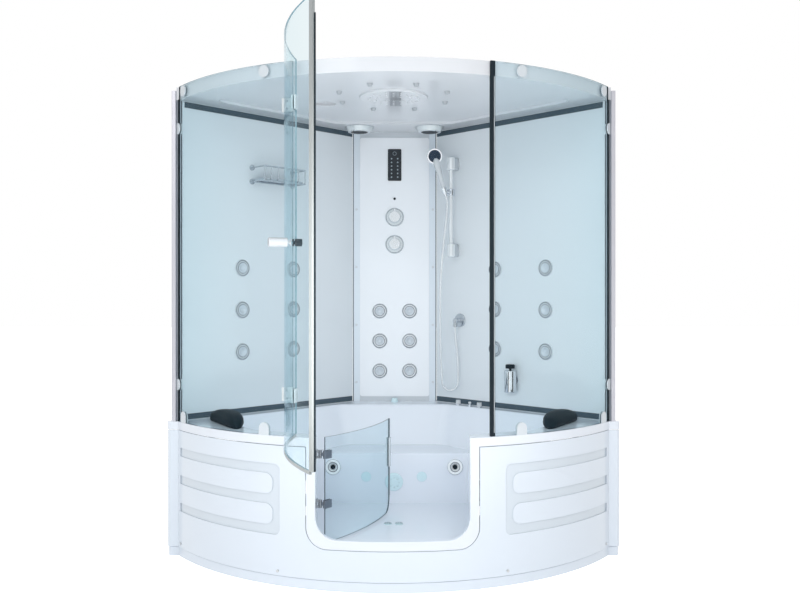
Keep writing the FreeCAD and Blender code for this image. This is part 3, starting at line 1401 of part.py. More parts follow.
def make_soap():
    centre = right_wall_point(soap_s, soap_stand, 0)
    low, high = soap_z, soap_z + soap_height
    bottle = rod(soap_r, centre + Z * low, centre + Z * high)
    bottle = rounded_edges(bottle, 5.0, lambda e: len(e.Vertexes) == 1)
    bottle = bottle.cut(rod(cap_stem_r + shaft_clearance, centre + Z * (high - 40), centre + Z * (high + 1)))
    arm_z = low + 60
    arm = rod(9.0, right_wall_point(soap_s, seat_gap, arm_z), right_wall_point(soap_s, soap_stand - 20, arm_z))
    plate = rod(22.0, right_wall_point(soap_s, seat_gap, low + 60), right_wall_point(soap_s, 5, low + 60))
    save("soap_dispenser", fuse([bottle, arm, plate]))
    foot = high + cap_travel + 1
    cap = rod(cap_r, centre + Z * foot, centre + Z * (foot + cap_height))
    cap = rounded_edges(cap, 5.0, at_height(foot + cap_height))
    stem = rod(cap_stem_r, centre + Z * (high - 40 + cap_travel + 2), centre + Z * (foot + 3))
    save("soap_cap", cap.fuse(stem))


# ---------------------------------------------------------------- tub fittings

def make_hydro_jets():
    jets = []
    for x in (-hydro_x, hydro_x):
        face = riser_y - hydro_thickness
        disc = rod(hydro_r, vec(x, face, hydro_z), vec(x, riser_y - seat_gap, hydro_z))
        disc = rounded_edges(disc, 4.0, lambda e: e.BoundBox.YMax < face + 0.1)
        tail_end = vec(x, jet_pipe_y - jet_pipe_r, hydro_z)
        tail = rod(hydro_eye_r - seat_gap, vec(x, riser_y - 1, hydro_z), tail_end)
        eye = Part.makeCone(hydro_eye_r, hydro_eye_r * 0.5, 9.0, vec(x, face - 0.01, hydro_z), vec(0, 1, 0))
        ball = Part.makeSphere(hydro_eye_r * 0.45, vec(x, face + 7, hydro_z))
        jets.append(disc.fuse(tail).cut(eye).fuse(ball).removeSplitter())
    save("hydro_jets", jets)


def make_tub_fittings():
    parts = []
    for x in (-light_x, light_x):
        ring = rod(light_r, vec(x, riser_y - 4, light_z), vec(x, riser_y - seat_gap, light_z))
        ring = rounded_edges(ring, 1.5, lambda e: e.BoundBox.YMax < riser_y - 3.9)
        parts.append(ring.fuse(rod(light_r * 0.7 - seat_gap, vec(x, riser_y - 1, light_z),
                                   vec(x, riser_y + acrylic + 12, light_z))))
    face = riser_y - suction_thickness
    cover = rod(suction_r, vec(0, face, suction_z), vec(0, riser_y - seat_gap, suction_z))
    cover = rounded_edges(cover, 5.0, lambda e: e.BoundBox.YMax < face + 0.1)
    for index in range(8):
        angle = 2 * math.pi * index / 8
        x, z = math.sin(angle) * suction_r * 0.55, suction_z + math.cos(angle) * suction_r * 0.55
        cover = cover.cut(rod(5.0, vec(x, face - 1, z), vec(x, riser_y - 2, z)))
    parts.append(cover)
    for x in (-drain_x, drain_x):
        flange = rod(drain_r, vec(x, drain_y, well_floor_z + seat_gap),
                     vec(x, drain_y, well_floor_z + cap_thickness))
        pipe = rod(trap_r - seat_gap, vec(x, drain_y, waste_z), vec(x, drain_y, well_floor_z + 1))
        parts.append(flange.fuse(pipe))
    branch = rod(trap_r - seat_gap, vec(-drain_x, drain_y, waste_z), vec(waste_x, drain_y, waste_z))
    waste_end = vec(waste_x, riser_y + waste_reach, waste_z)
    spigot_start = vec(waste_x, waste_end.y - waste_spigot_length, waste_z)
    main = rod(waste_r, vec(waste_x, drain_y - waste_r, waste_z), spigot_start)
    waste = fuse(parts[-2:] + [branch, main, rod(waste_spigot_r, spigot_start, waste_end)])
    dome = Part.makeCone(steam_outlet_r, steam_outlet_r * 0.75, steam_outlet_height,
                         vec(0, steam_outlet_y, rim_z + seat_gap))
    dome = rounded_edges(dome, 4.0, at_height(rim_z + seat_gap + steam_outlet_height))
    pipe_hole = rod(steam_pipe_r + seat_gap, vec(0, steam_outlet_y, rim_z - 1), vec(0, steam_outlet_y, rim_z + 12))
    dome = dome.cut(pipe_hole)
    save("tub_fittings", parts[:-2] + [waste, dome])


def make_deck_fittings():
    """Two air knobs with a sprung push button between them, on the deck beside the column."""
    bases = []
    stem_r = deck_stud_r * 0.6
    for name, x in zip(("left_air_knob", None, "right_air_knob"), deck_row_x):
        place = deck_place(x) + Z * seat_gap
        radius, height = (deck_base_r, deck_base_height) if name else (button_base_r, button_base_height)
        base = rod(radius, place, place + Z * height)
        base = rounded_edges(base, 2.0, at_height(place.z + height))
        base = base.fuse(rod(deck_stud_r, place - Z * 34, place + Z))
        bore = rod(stem_r + shaft_clearance, place - Z * 26, place + Z * 30)
        bases.append(base.cut(bore))
        if name:
            foot = place + Z * (height + seat_gap)
            knob = Part.makeCone(deck_knob_r, deck_knob_r * 0.92, deck_knob_height, foot)
            knob = rounded_edges(knob, 2.5, at_height(foot.z + deck_knob_height))
            for index in range(10):
                angle = 2 * math.pi * index / 10
                flute = foot + vec(math.cos(angle), math.sin(angle)) * (deck_knob_r + 1.2)
                knob = knob.cut(rod(2.4, flute + Z * 3, flute + Z * (deck_knob_height + 1)))
            save(name, knob.fuse(rod(stem_r, place - Z * 20, foot + Z * 3)))
        else:
            foot = place + Z * (height + button_travel + seat_gap)
            button = rod(button_r, foot, foot + Z * button_height)
            button = rounded_edges(button, 2.0, at_height(foot.z + button_height))
            save("deck_button", button.fuse(rod(stem_r, place - Z * (24 - button_travel), foot + Z * 3)))
    save("deck_fittings", bases)


# ---------------------------------------------------------------- plant

def make_plant():
    x0, x1 = pump_x - pump_length / 2, pump_x + pump_length / 2
    motor = rod(pump_r, vec(x0, pump_y, suction_z), vec(x1, pump_y, suction_z))
    motor = rounded_edges(motor, 8.0, lambda e: len(e.Vertexes) == 1)
    foot_z0, foot_z1 = well_bottom + seat_gap, suction_z - pump_r * 0.5
    foot = box(pump_x - 60, pump_x + 60, pump_y - 30, riser_y + 165, foot_z0, foot_z1)
    inlet = [rod(pipe_r, vec(0, pump_y, suction_z), vec(x0 + 5, pump_y, suction_z)),
             Part.makeSphere(pipe_r, vec(0, pump_y, suction_z)),
             rod(pipe_r, vec(0, riser_y + acrylic + seat_gap, suction_z), vec(0, pump_y, suction_z))]
    outlet_x = pump_x + 50
    header = [rod(jet_pipe_r, vec(-hydro_x, jet_pipe_y, hydro_z), vec(outlet_x, jet_pipe_y, hydro_z)),
              Part.makeSphere(jet_pipe_r, vec(outlet_x, jet_pipe_y, hydro_z)),
              Part.makeSphere(jet_pipe_r, vec(-hydro_x, jet_pipe_y, hydro_z)),
              rod(jet_pipe_r, vec(outlet_x, jet_pipe_y, hydro_z), vec(outlet_x, pump_y, hydro_z)),
              Part.makeSphere(jet_pipe_r, vec(outlet_x, pump_y, hydro_z)),
              rod(jet_pipe_r, vec(outlet_x, pump_y, hydro_z), vec(outlet_x, pump_y, suction_z + pump_r - 6))]
    save("jet_pump", fuse([motor, foot] + inlet + header))
    y0 = column_face_y + housing_depth + seat_gap
    plate_low = boiler_z - 20
    plate = box(-column_half_width, column_half_width, y0, y0 + 3, plate_low, plate_low + 60)
    upper = box(-column_half_width, column_half_width, y0, y0 + 3, boiler_z + boiler_height - 60,
                boiler_z + boiler_height)
    tank = box(-boiler_width / 2, boiler_width / 2, y0, y0 + boiler_depth, boiler_z, boiler_z + boiler_height)
    tank = rounded_edges(tank, 12.0, lambda e: upright(e) and e.BoundBox.YMin > y0 + 5)
    run = [rod(steam_pipe_r, vec(0, steam_drop_y, boiler_z + 5), vec(0, steam_drop_y, steam_run_z)),
           Part.makeSphere(steam_pipe_r, vec(0, steam_drop_y, steam_run_z)),
           rod(steam_pipe_r, vec(0, steam_drop_y, steam_run_z), vec(0, steam_outlet_y, steam_run_z)),
           Part.makeSphere(steam_pipe_r, vec(0, steam_outlet_y, steam_run_z)),
           rod(steam_pipe_r, vec(0, steam_outlet_y, steam_run_z), vec(0, steam_outlet_y, rim_z + 11))]
    save("steam_generator", fuse([plate, upper, tank] + run))


os.makedirs("parts", exist_ok=True)
make_tub()
make_apron()
make_skirt()
make_base()
make_walls()
make_posts()
make_column()
make_jets()
make_knobs()
make_roof()
make_roof_fittings()
make_panes()
make_clamps()
make_door()
make_tub_door()
make_pillows()
make_rail()
make_slider()
make_handset()
make_hose()
make_shelf()
make_soap()
make_hydro_jets()
make_tub_fittings()
make_deck_fittings()
make_plant()
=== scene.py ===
import math
import bpy
import bmesh
from mathutils import Matrix, Vector


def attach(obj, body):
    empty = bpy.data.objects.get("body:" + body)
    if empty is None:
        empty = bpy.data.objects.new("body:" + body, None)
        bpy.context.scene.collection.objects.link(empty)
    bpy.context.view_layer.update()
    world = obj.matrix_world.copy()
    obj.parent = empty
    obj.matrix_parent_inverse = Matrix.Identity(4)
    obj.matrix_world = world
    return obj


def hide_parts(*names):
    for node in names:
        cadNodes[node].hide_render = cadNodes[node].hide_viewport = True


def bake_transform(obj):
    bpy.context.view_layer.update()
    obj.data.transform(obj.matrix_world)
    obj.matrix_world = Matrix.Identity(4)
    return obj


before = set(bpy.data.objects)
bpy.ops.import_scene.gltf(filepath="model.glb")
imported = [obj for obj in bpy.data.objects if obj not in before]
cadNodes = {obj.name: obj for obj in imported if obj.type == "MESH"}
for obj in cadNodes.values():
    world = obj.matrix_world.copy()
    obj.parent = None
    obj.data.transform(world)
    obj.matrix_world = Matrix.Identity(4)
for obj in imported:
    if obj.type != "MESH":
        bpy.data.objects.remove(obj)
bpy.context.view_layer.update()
scene = bpy.context.scene
print("stage: frame loaded")


# helpers

def newObject(name, data):
    item = bpy.data.objects.new(name, data)
    scene.collection.objects.link(item)
    return item


def storeMesh(name, shape):
    mesh = bpy.data.meshes.new(name)
    shape.to_mesh(mesh)
    shape.free()
    return mesh


def makeMaterial(name):
    material = bpy.data.materials.new(name)
    material.use_nodes = True
    tree = material.node_tree
    return material, tree, tree.nodes["Principled BSDF"]


def addNode(tree, kind, **settings):
    node = tree.nodes.new(kind)
    for key, value in settings.items():
        setattr(node, key, value)
    return node


def mathNode(tree, operation, *values):
    # each value is a plain number or the socket that feeds it
    node = addNode(tree, "ShaderNodeMath", operation=operation)
    for socket, value in zip(node.inputs, values):
        if isinstance(value, (int, float)):
            socket.default_value = value
        else:
            tree.links.new(value, socket)
    return node.outputs[0]


def rangeNode(tree, value, low, high, start=0.0):
    # a value from start to 1 becomes one from low to high
    node = addNode(tree, "ShaderNodeMapRange")
    node.inputs["From Min"].default_value = start
    node.inputs["To Min"].default_value = low
    node.inputs["To Max"].default_value = high
    tree.links.new(value, node.inputs["Value"])
    return node.outputs["Result"]


def colourMix(tree):
    # a Mix node's sockets for colours: the factor, the two colours and the result
    node = addNode(tree, "ShaderNodeMix", data_type="RGBA")
    return node.inputs[0], node.inputs[6], node.inputs[7], node.outputs[2]


# camera, floor and light

viewSettings = {"place": (0.030, -4.040, 1.205), "focal": 862.0, "width": 800.0,
                "horizonDrop": -3.0, "sensor": 36.0, "farthest": 100.0}


def makeCamera(settings):
    data = bpy.data.cameras.new("photoCamera")
    data.sensor_width = settings["sensor"]
    data.lens = settings["sensor"] * settings["focal"] / settings["width"]
    data.shift_y = settings["horizonDrop"] / settings["width"]
    data.clip_end = settings["farthest"]
    camera = newObject("photoCamera", data)
    camera.location = settings["place"]
    camera.rotation_euler = (math.pi / 2, 0.0, 0.0)
    scene.camera = camera
    scene.view_settings.view_transform = "Standard"


makeCamera(viewSettings)


def backgroundRays(tree):
    rays = addNode(tree, "ShaderNodeLightPath").outputs
    seen = mathNode(tree, "MAXIMUM", rays["Is Camera Ray"], rays["Is Glossy Ray"])
    return mathNode(tree, "MAXIMUM", seen, rays["Is Transmission Ray"])


plainWhite = (1.0, 1.0, 1.0, 1.0)
worldSettings = {"shown": 1.0, "lit": 0.84, "low": (0.74, 0.77, 0.80, 1.0), "high": plainWhite,
                 "full": 0.7}


def makeWorld(settings):
    world = bpy.data.worlds.new("studio")
    scene.world = world
    world.use_nodes = True
    tree = world.node_tree
    link = tree.links.new
    output = tree.nodes["World Output"]
    shown = tree.nodes["Background"]
    shown.inputs["Color"].default_value = plainWhite
    shown.inputs["Strength"].default_value = settings["shown"]
    lit = addNode(tree, "ShaderNodeBackground")
    lit.inputs["Strength"].default_value = settings["lit"]
    coordinate = addNode(tree, "ShaderNodeTexCoord")
    split = addNode(tree, "ShaderNodeSeparateXYZ")
    ramp = addNode(tree, "ShaderNodeValToRGB")
    ramp.color_ramp.elements[0].color = settings["low"]
    ramp.color_ramp.elements[1].position = settings["full"]
    ramp.color_ramp.elements[1].color = settings["high"]
    link(coordinate.outputs["Generated"], split.inputs[0])
    link(split.outputs["Z"], ramp.inputs["Fac"])
    link(ramp.outputs["Color"], lit.inputs["Color"])
    mix = addNode(tree, "ShaderNodeMixShader")
    link(backgroundRays(tree), mix.inputs["Fac"])
    link(lit.outputs[0], mix.inputs[1])
    link(shown.outputs[0], mix.inputs[2])
    link(mix.outputs[0], output.inputs["Surface"])


makeWorld(worldSettings)

lightSettings = {
    "keyLight": {"place": (-2.6, -4.6, 3.6), "target": (0.0, 0.0, 1.0), "size": (2.4, 2.4),
                 "power": 33.0},
    "fillLight": {"place": (3.0, -4.2, 2.2), "target": (0.0, 0.2, 1.1), "size": (2.0, 2.6),
                  "power": 3.0},
    "cabinLight": {"place": (0.0, -1.6, 1.15), "target": (0.0, 0.6, 1.65), "size": (1.4, 0.8),
                   "power": 15.0, "mirrored": False},
}


def makeLight(name, settings):
    data = bpy.data.lights.new(name, "AREA")
    data.shape = "RECTANGLE"
    data.size, data.size_y = settings["size"]
    data.energy = settings["power"]
    light = newObject(name, data)
    light.location = settings["place"]
    light.visible_glossy = settings.get("mirrored", True)
    aim = Vector(settings["target"]) - light.location
    light.rotation_euler = aim.to_track_quat("-Z", "Y").to_euler()


for lightName, lightValues in lightSettings.items():
    makeLight(lightName, lightValues)


def flatCard(name, corners, material):
    mesh = bpy.data.meshes.new(name)
    mesh.from_pydata(corners, [], [(0, 1, 2, 3)])
    mesh.materials.append(material)
    return newObject(name, mesh)


flagSettings = {"left": (-3.1, -3.3), "right": (3.1, -3.3), "width": 1.5, "height": 3.4,
                "colour": (0.02, 0.02, 0.02, 1.0), "roughness": 1.0}


def makeFlag(side, settings):
    # a dark card beside the camera that only reflections see, so chrome has something to mirror
    material, tree, shader = makeMaterial(side + "FlagCloth")
    shader.inputs["Base Color"].default_value = settings["colour"]
    shader.inputs["Roughness"].default_value = settings["roughness"]
    base = Vector((*settings[side], 0.0))
    away = base.normalized()
    across = Vector((-away.y, away.x, 0.0)) * (settings["width"] / 2)
    top = Vector((0.0, 0.0, settings["height"]))
    corners = [base - across, base + across, base + across + top, base - across + top]
    flag = flatCard(side + "Flag", corners, material)
    flag.visible_camera = False
    flag.visible_diffuse = False
    flag.visible_transmission = False
    flag.visible_shadow = False


for flagSide in ("left", "right"):
    makeFlag(flagSide, flagSettings)

floorSettings = {"half": 30.0, "colour": (0.93, 0.93, 0.93, 1.0), "lift": 0.45, "roughness": 0.9,
                 "specular": 0.1}


def makeFloor(settings):
    material, tree, shader = makeMaterial("paleFloor")
    shader.inputs["Base Color"].default_value = settings["colour"]
    shader.inputs["Roughness"].default_value = settings["roughness"]
    shader.inputs["Specular IOR Level"].default_value = settings["specular"]
    shader.inputs["Emission Color"].default_value = plainWhite
    lift = mathNode(tree, "MULTIPLY", backgroundRays(tree), settings["lift"])
    tree.links.new(lift, shader.inputs["Emission Strength"])
    half = settings["half"]
    corners = [(-half, -half, 0), (half, -half, 0), (half, half, 0), (-half, half, 0)]
    floor = flatCard("floor", corners, material)


makeFloor(floorSettings)
print("stage: camera, floor and light")


# materials

surfaceSettings = {"coatRoughness": 0.04, "noiseDetail": 4.0, "roughSpan": (0.85, 1.15),
                   "bumpStrength": 0.6}


def makeSurface(name, colour, roughness, metallic=0.0, coat=0.0, vary=0.03, scale=6.0, bump=0.0,
                bumpScale=900.0, stretch=(1.0, 1.0, 1.0), specular=0.5):
    material, tree, shader = makeMaterial(name)
    link = tree.links.new
    shader.inputs["Metallic"].default_value = metallic
    shader.inputs["Coat Weight"].default_value = coat
    shader.inputs["Coat Roughness"].default_value = surfaceSettings["coatRoughness"]
    shader.inputs["Specular IOR Level"].default_value = specular
    coordinate = addNode(tree, "ShaderNodeTexCoord")
    mapping = addNode(tree, "ShaderNodeMapping")
    mapping.inputs["Scale"].default_value = stretch
    noise = addNode(tree, "ShaderNodeTexNoise")
    noise.inputs["Scale"].default_value = scale
    noise.inputs["Detail"].default_value = surfaceSettings["noiseDetail"]
    link(coordinate.outputs["Object"], mapping.inputs["Vector"])
    link(mapping.outputs["Vector"], noise.inputs["Vector"])
    tint = addNode(tree, "ShaderNodeVectorMath", operation="SCALE")
    tint.inputs[0].default_value = colour
    tone = rangeNode(tree, noise.outputs["Fac"], 1.0 - vary, 1.0 + vary)
    link(tone, tint.inputs["Scale"])
    link(tint.outputs["Vector"], shader.inputs["Base Color"])
    smooth, coarse = surfaceSettings["roughSpan"]
    rough = rangeNode(tree, noise.outputs["Fac"], roughness * smooth, roughness * coarse)
    link(rough, shader.inputs["Roughness"])
    if bump:
        grain = addNode(tree, "ShaderNodeTexNoise")
        grain.inputs["Scale"].default_value = bumpScale
        link(mapping.outputs["Vector"], grain.inputs["Vector"])
        relief = addNode(tree, "ShaderNodeBump")
        relief.inputs["Distance"].default_value = bump
        relief.inputs["Strength"].default_value = surfaceSettings["bumpStrength"]
        link(grain.outputs["Fac"], relief.inputs["Height"])
        link(relief.outputs["Normal"], shader.inputs["Normal"])
    return material


def makeTwoTone(name, near, far, roughness, split, reach=None):
    # near is the colour up to this distance from the middle plane, far is the colour past it;
    # with a reach, far is only the band this wide to both sides of the split
    material = makeSurface(name, near, roughness, coat=0.3, vary=0.015, scale=20.0)
    tree = material.node_tree
    link = tree.links.new
    shader = tree.nodes["Principled BSDF"]
    plain = shader.inputs["Base Color"].links[0].from_socket
    coordinate = addNode(tree, "ShaderNodeTexCoord")
    parts = addNode(tree, "ShaderNodeSeparateXYZ")
    link(coordinate.outputs["Object"], parts.inputs[0])
    distance = mathNode(tree, "ABSOLUTE", parts.outputs["X"])
    past = mathNode(tree, "COMPARE" if reach else "GREATER_THAN", distance, split, reach or 0.0)
    factor, first, second, result = colourMix(tree)
    link(past, factor)
    link(plain, first)
    second.default_value = (*far, 1.0)
    link(result, shader.inputs["Base Color"])
    return material


glassSettings = {"tint": (0.965, 0.990, 0.998, 1.0), "slantTint": (0.87, 0.935, 0.95, 1.0),
                 "slant": 0.35, "cloudScale": 1.4, "cloud": (0.985, 1.0), "ior": 1.05,
                 "haze": 0.01, "shine": (0.95, 0.98, 1.0, 1.0)}


def makeGlass(name, settings):
    # clear panes with no refraction, deeper in colour where they are seen on the slant
    material, tree, shader = makeMaterial(name)
    link = tree.links.new
    tree.nodes.remove(shader)
    output = tree.nodes["Material Output"]
    coordinate = addNode(tree, "ShaderNodeTexCoord")
    noise = addNode(tree, "ShaderNodeTexNoise")
    noise.inputs["Scale"].default_value = settings["cloudScale"]
    link(coordinate.outputs["Object"], noise.inputs["Vector"])
    slant = addNode(tree, "ShaderNodeLayerWeight")
    slant.inputs["Blend"].default_value = settings["slant"]
    factor, first, second, result = colourMix(tree)
    first.default_value = settings["tint"]
    second.default_value = settings["slantTint"]
    link(slant.outputs["Facing"], factor)
    colour = addNode(tree, "ShaderNodeVectorMath", operation="SCALE")
    link(result, colour.inputs[0])
    cloud = rangeNode(tree, noise.outputs["Fac"], *settings["cloud"])
    link(cloud, colour.inputs["Scale"])
    clear = addNode(tree, "ShaderNodeBsdfTransparent")
    link(colour.outputs["Vector"], clear.inputs["Color"])
    shine = addNode(tree, "ShaderNodeBsdfGlossy")
    shine.inputs["Roughness"].default_value = settings["haze"]
    shine.inputs["Color"].default_value = settings["shine"]
    fresnel = addNode(tree, "ShaderNodeFresnel")
    side = addNode(tree, "ShaderNodeNewGeometry")
    index = rangeNode(tree, side.outputs["Backfacing"], settings["ior"], 1.0 / settings["ior"])
    link(index, fresnel.inputs["IOR"])
    mix = addNode(tree, "ShaderNodeMixShader")
    link(fresnel.outputs["Fac"], mix.inputs["Fac"])
    link(clear.outputs[0], mix.inputs[1])
    link(shine.outputs[0], mix.inputs[2])
    link(mix.outputs[0], output.inputs["Surface"])
    return material


acrylic = makeSurface("whiteAcrylic", (0.745, 0.81, 0.89), 0.16, coat=0.4, vary=0.012, scale=2.0)
# painted shade: a darker, greyer copy of the white acrylic for the roof, rain head and fan housing,
# toning down the brightly lit fascia
ceilingShadedAcrylic = makeSurface("ceilingShadedAcrylic", (0.71, 0.73, 0.765), 0.24, coat=0.2, vary=0.015,
                             scale=2.0)
# painted light: a brighter copy of the white acrylic for the tub shell, making up for the shade
# inside the cabin
tubLitAcrylic = makeSurface("tubLitAcrylic", (0.79, 0.835, 0.905), 0.18, coat=0.3, vary=0.012, scale=2.0)
wallFinish = makeSurface("wallPanel", (0.74, 0.785, 0.82), 0.16, coat=0.3, vary=0.02, scale=1.5)
columnFinish = makeSurface("columnPanel", (0.88, 0.91, 0.95), 0.16, coat=0.4, vary=0.012,
                           scale=2.0)
anodised = makeSurface("anodisedProfile", (0.60, 0.60, 0.65), 0.36, metallic=0.6, vary=0.05,
                       scale=40.0, stretch=(1.0, 1.0, 0.02), bump=0.00002, bumpScale=700.0)
housingFinish = makeSurface("housingProfile", (0.62, 0.66, 0.70), 0.34, metallic=0.3, scale=20.0)
slateStrip = makeSurface("slateStrip", (0.055, 0.085, 0.110), 0.35, vary=0.06, scale=12.0)
blackSeal = makeSurface("blackSeal", (0.010, 0.018, 0.025), 0.6, vary=0.06, scale=30.0,
                        specular=0.2)
clearSeal = makeSurface("clearSeal", (0.52, 0.57, 0.60), 0.25, scale=20.0)
chrome = makeSurface("chrome", (0.74, 0.76, 0.79), 0.07, metallic=1.0, vary=0.01, scale=8.0)
satinChrome = makeSurface("satinChrome", (0.66, 0.69, 0.73), 0.20, metallic=1.0, vary=0.02,
                          scale=8.0)
darkChrome = makeSurface("darkChrome", (0.26, 0.29, 0.32), 0.14, metallic=1.0, scale=12.0)
platedPlastic = makeSurface("platedPlastic", (0.72, 0.75, 0.79), 0.10, metallic=1.0, vary=0.01,
                            scale=8.0)
zincSteel = makeSurface("zincSteel", (0.60, 0.62, 0.64), 0.38, metallic=0.9, vary=0.08, scale=90.0)
framePaint = makeSurface("framePaint", (0.40, 0.43, 0.46), 0.45, vary=0.05, scale=30.0,
                         bump=0.0002, bumpScale=300.0)
clampPlastic = makeSurface("clampPlastic", (0.64, 0.69, 0.73), 0.22, coat=0.3, vary=0.02,
                           scale=20.0)
whiteGrip = makeSurface("whiteGrip", (0.60, 0.63, 0.66), 0.22, coat=0.3, vary=0.015, scale=25.0)
jetPlate = makeSurface("jetPlate", (0.70, 0.74, 0.78), 0.20, metallic=0.35, coat=0.3, scale=25.0)
jetEye = makeSurface("jetEye", (0.60, 0.65, 0.70), 0.26, coat=0.2, scale=40.0)
# dark grey, mostly painted shade: rims of jet and knob rosettes, the step round jet nozzles, drain
# holes and suction slots; also hydro jet rings, drain rims and printed scale dots
ringGrey = makeSurface("ringGrey", (0.11, 0.13, 0.15), 0.30, metallic=0.4, vary=0.04, scale=40.0)
displayBlack = makeSurface("displayBlack", (0.030, 0.036, 0.043), 0.30, vary=0.05, scale=20.0,
                           specular=0.25)
keyPrint = makeSurface("keyPrint", (0.34, 0.40, 0.45), 0.4, vary=0.04, scale=60.0)
sprayNavy = makeSurface("sprayNavy", (0.013, 0.030, 0.056), 0.40, vary=0.06, scale=60.0,
                        specular=0.25)
lensGrey = makeSurface("lensGrey", (0.07, 0.08, 0.09), 0.35, vary=0.04, scale=30.0, specular=0.3)
lightRim = makeSurface("lightRim", (0.36, 0.39, 0.42), 0.35, metallic=0.3, scale=30.0)
nozzleDark = makeSurface("nozzleDark", (0.12, 0.13, 0.15), 0.30, metallic=0.5, vary=0.04,
                         scale=30.0)
nozzlePale = makeSurface("nozzlePale", (0.42, 0.45, 0.48), 0.35, scale=30.0)
rosettePlate = makeSurface("rosettePlate", (0.68, 0.74, 0.78), 0.26, metallic=0.4, coat=0.3,
                           vary=0.02, scale=12.0)
knobChrome = makeSurface("knobChrome", (0.70, 0.75, 0.79), 0.16, metallic=0.8, vary=0.02,
                         scale=12.0)
railChrome = makeSurface("railChrome", (0.56, 0.60, 0.64), 0.18, metallic=0.9, vary=0.02,
                         scale=8.0)
bracketShell = makeSurface("bracketShell", (0.58, 0.62, 0.65), 0.26, metallic=0.5, coat=0.3,
                           vary=0.02, scale=12.0)
slatShade = makeSurface("slatShade", (0.20, 0.22, 0.25), 0.45, vary=0.04, scale=60.0, specular=0.3)
pillowSkin = makeSurface("pillowSkin", (0.011, 0.020, 0.027), 0.55, vary=0.10, scale=40.0,
                         bump=0.0004, bumpScale=650.0, specular=0.10)
palePlastic = makeSurface("palePlastic", (0.64, 0.68, 0.73), 0.30, scale=25.0)
pumpHousing = makeSurface("pumpHousing", (0.05, 0.06, 0.07), 0.42, vary=0.10, scale=40.0,
                          bump=0.0003, bumpScale=250.0)
whiteCase = makeSurface("whiteCase", (0.74, 0.75, 0.74), 0.34, scale=30.0)
# painted shade: darker copies of the white acrylic for the floors and walls of the apron's recesses
recessShadeAcrylic = makeSurface("recessShadeAcrylic", (0.67, 0.735, 0.80), 0.2, coat=0.3, vary=0.012,
                            scale=2.0)
recessEdgeShade = makeSurface("recessEdgeShade", (0.50, 0.56, 0.61), 0.3, vary=0.012, scale=2.0)
postSeal = makeTwoTone("postSeal", (0.62, 0.68, 0.74), (0.010, 0.018, 0.025), 0.5, 1.0035, 0.0055)
trimFinish = makeTwoTone("trimStrip", (0.74, 0.81, 0.88), (0.10, 0.13, 0.16), 0.3, 0.2275)
clearGlass = makeGlass("clearGlass", glassSettings)
glassEdge = makeSurface("glassEdge", (0.16, 0.30, 0.36), 0.12, coat=0.5, vary=0.05, scale=14.0)
darkEdge = makeSurface("darkEdge", (0.06, 0.085, 0.105), 0.3, vary=0.05, scale=14.0, specular=0.3)
# painted shade: a darker copy of the white grip for the door handle's outer grip, which faces the
# key light
shadedHandleGrip = makeSurface("shadedHandleGrip", (0.40, 0.42, 0.445), 0.24, coat=0.25, vary=0.015,
                         scale=25.0)
# painted shade: a darker copy of the clear seal for the door seals, which face the key light
sealBandShade = makeSurface("sealBandShade", (0.31, 0.333, 0.335), 0.3, scale=20.0)
jetDisc = makeSurface("jetDisc", (0.93, 0.955, 0.97), 0.2, coat=0.3, vary=0.015, scale=25.0)
cyanFitting = makeSurface("cyanFitting", (0.66, 0.83, 0.88), 0.22, coat=0.3, vary=0.02, scale=25.0)
hingePlate = makeSurface("hingePlate", (0.74, 0.79, 0.81), 0.26, metallic=0.3, coat=0.2,
                         vary=0.02, scale=25.0)
railWhite = makeSurface("railWhite", (0.84, 0.87, 0.89), 0.14, metallic=0.35, coat=0.4,
                        vary=0.015, scale=8.0)
hoseSilver = makeSurface("hoseSilver", (0.80, 0.83, 0.85), 0.22, metallic=0.5, coat=0.2,
                         vary=0.015, scale=8.0)

finishes = {
    "tub_shell": tubLitAcrylic, "front_apron": acrylic, "lower_skirt": acrylic,
    "apron_screws": zincSteel, "base_frame": framePaint, "levelling_feet": zincSteel,
    "left_wall": wallFinish, "right_wall": wallFinish, "wall_frames": anodised,
    "wall_strips": slateStrip, "front_posts": anodised, "column_housing": housingFinish,
    "column_panel": columnFinish, "column_trims": trimFinish, "trim_screw_caps": palePlastic,
    "display_panel": displayBlack, "jet_rosettes": jetPlate, "jet_nozzles": jetEye,
    "mixer_valve": rosettePlate, "temperature_knob": knobChrome, "diverter_knob": knobChrome,
    "roof_shell": ceilingShadedAcrylic, "rain_head": ceilingShadedAcrylic, "ceiling_nozzles": nozzlePale,
    "ceiling_lights": satinChrome, "fan_housing": ceilingShadedAcrylic, "fan_rotor": palePlastic,
    "left_glass": clearGlass, "right_glass": clearGlass, "glass_gaskets": blackSeal,
    "pane_clamps": clampPlastic, "door_glass": clearGlass, "door_seals": sealBandShade,
    "door_hinge_leaves": hingePlate, "door_hinge_mounts": hingePlate, "door_handle": chrome,
    "tub_door_glass": clearGlass, "tub_door_seal": clearSeal, "tub_door_clamps": darkChrome,
    "tub_door_hinges": darkChrome, "tub_door_handle": clampPlastic, "left_pillow": pillowSkin,
    "right_pillow": pillowSkin, "slide_rail": railWhite, "rail_slider": platedPlastic,
    "handset_holder": platedPlastic, "hand_shower": platedPlastic, "shower_hose": chrome,
    "hose_outlet": railChrome, "shelf": railChrome, "soap_dispenser": chrome,
    "soap_cap": blackSeal, "deck_fittings": platedPlastic, "deck_button": whiteGrip,
    "left_air_knob": whiteGrip, "right_air_knob": whiteGrip, "hydro_jets": jetDisc,
    "tub_fittings": cyanFitting, "jet_pump": pumpHousing, "steam_generator": whiteCase,
}


def finishNodes():
    for name, material in finishes.items():
        mesh = cadNodes[name].data
        mesh.materials.clear()
        mesh.materials.append(material)
        for face in mesh.polygons:
            face.material_index = 0


finishNodes()


# faces of the solids with a finish of their own

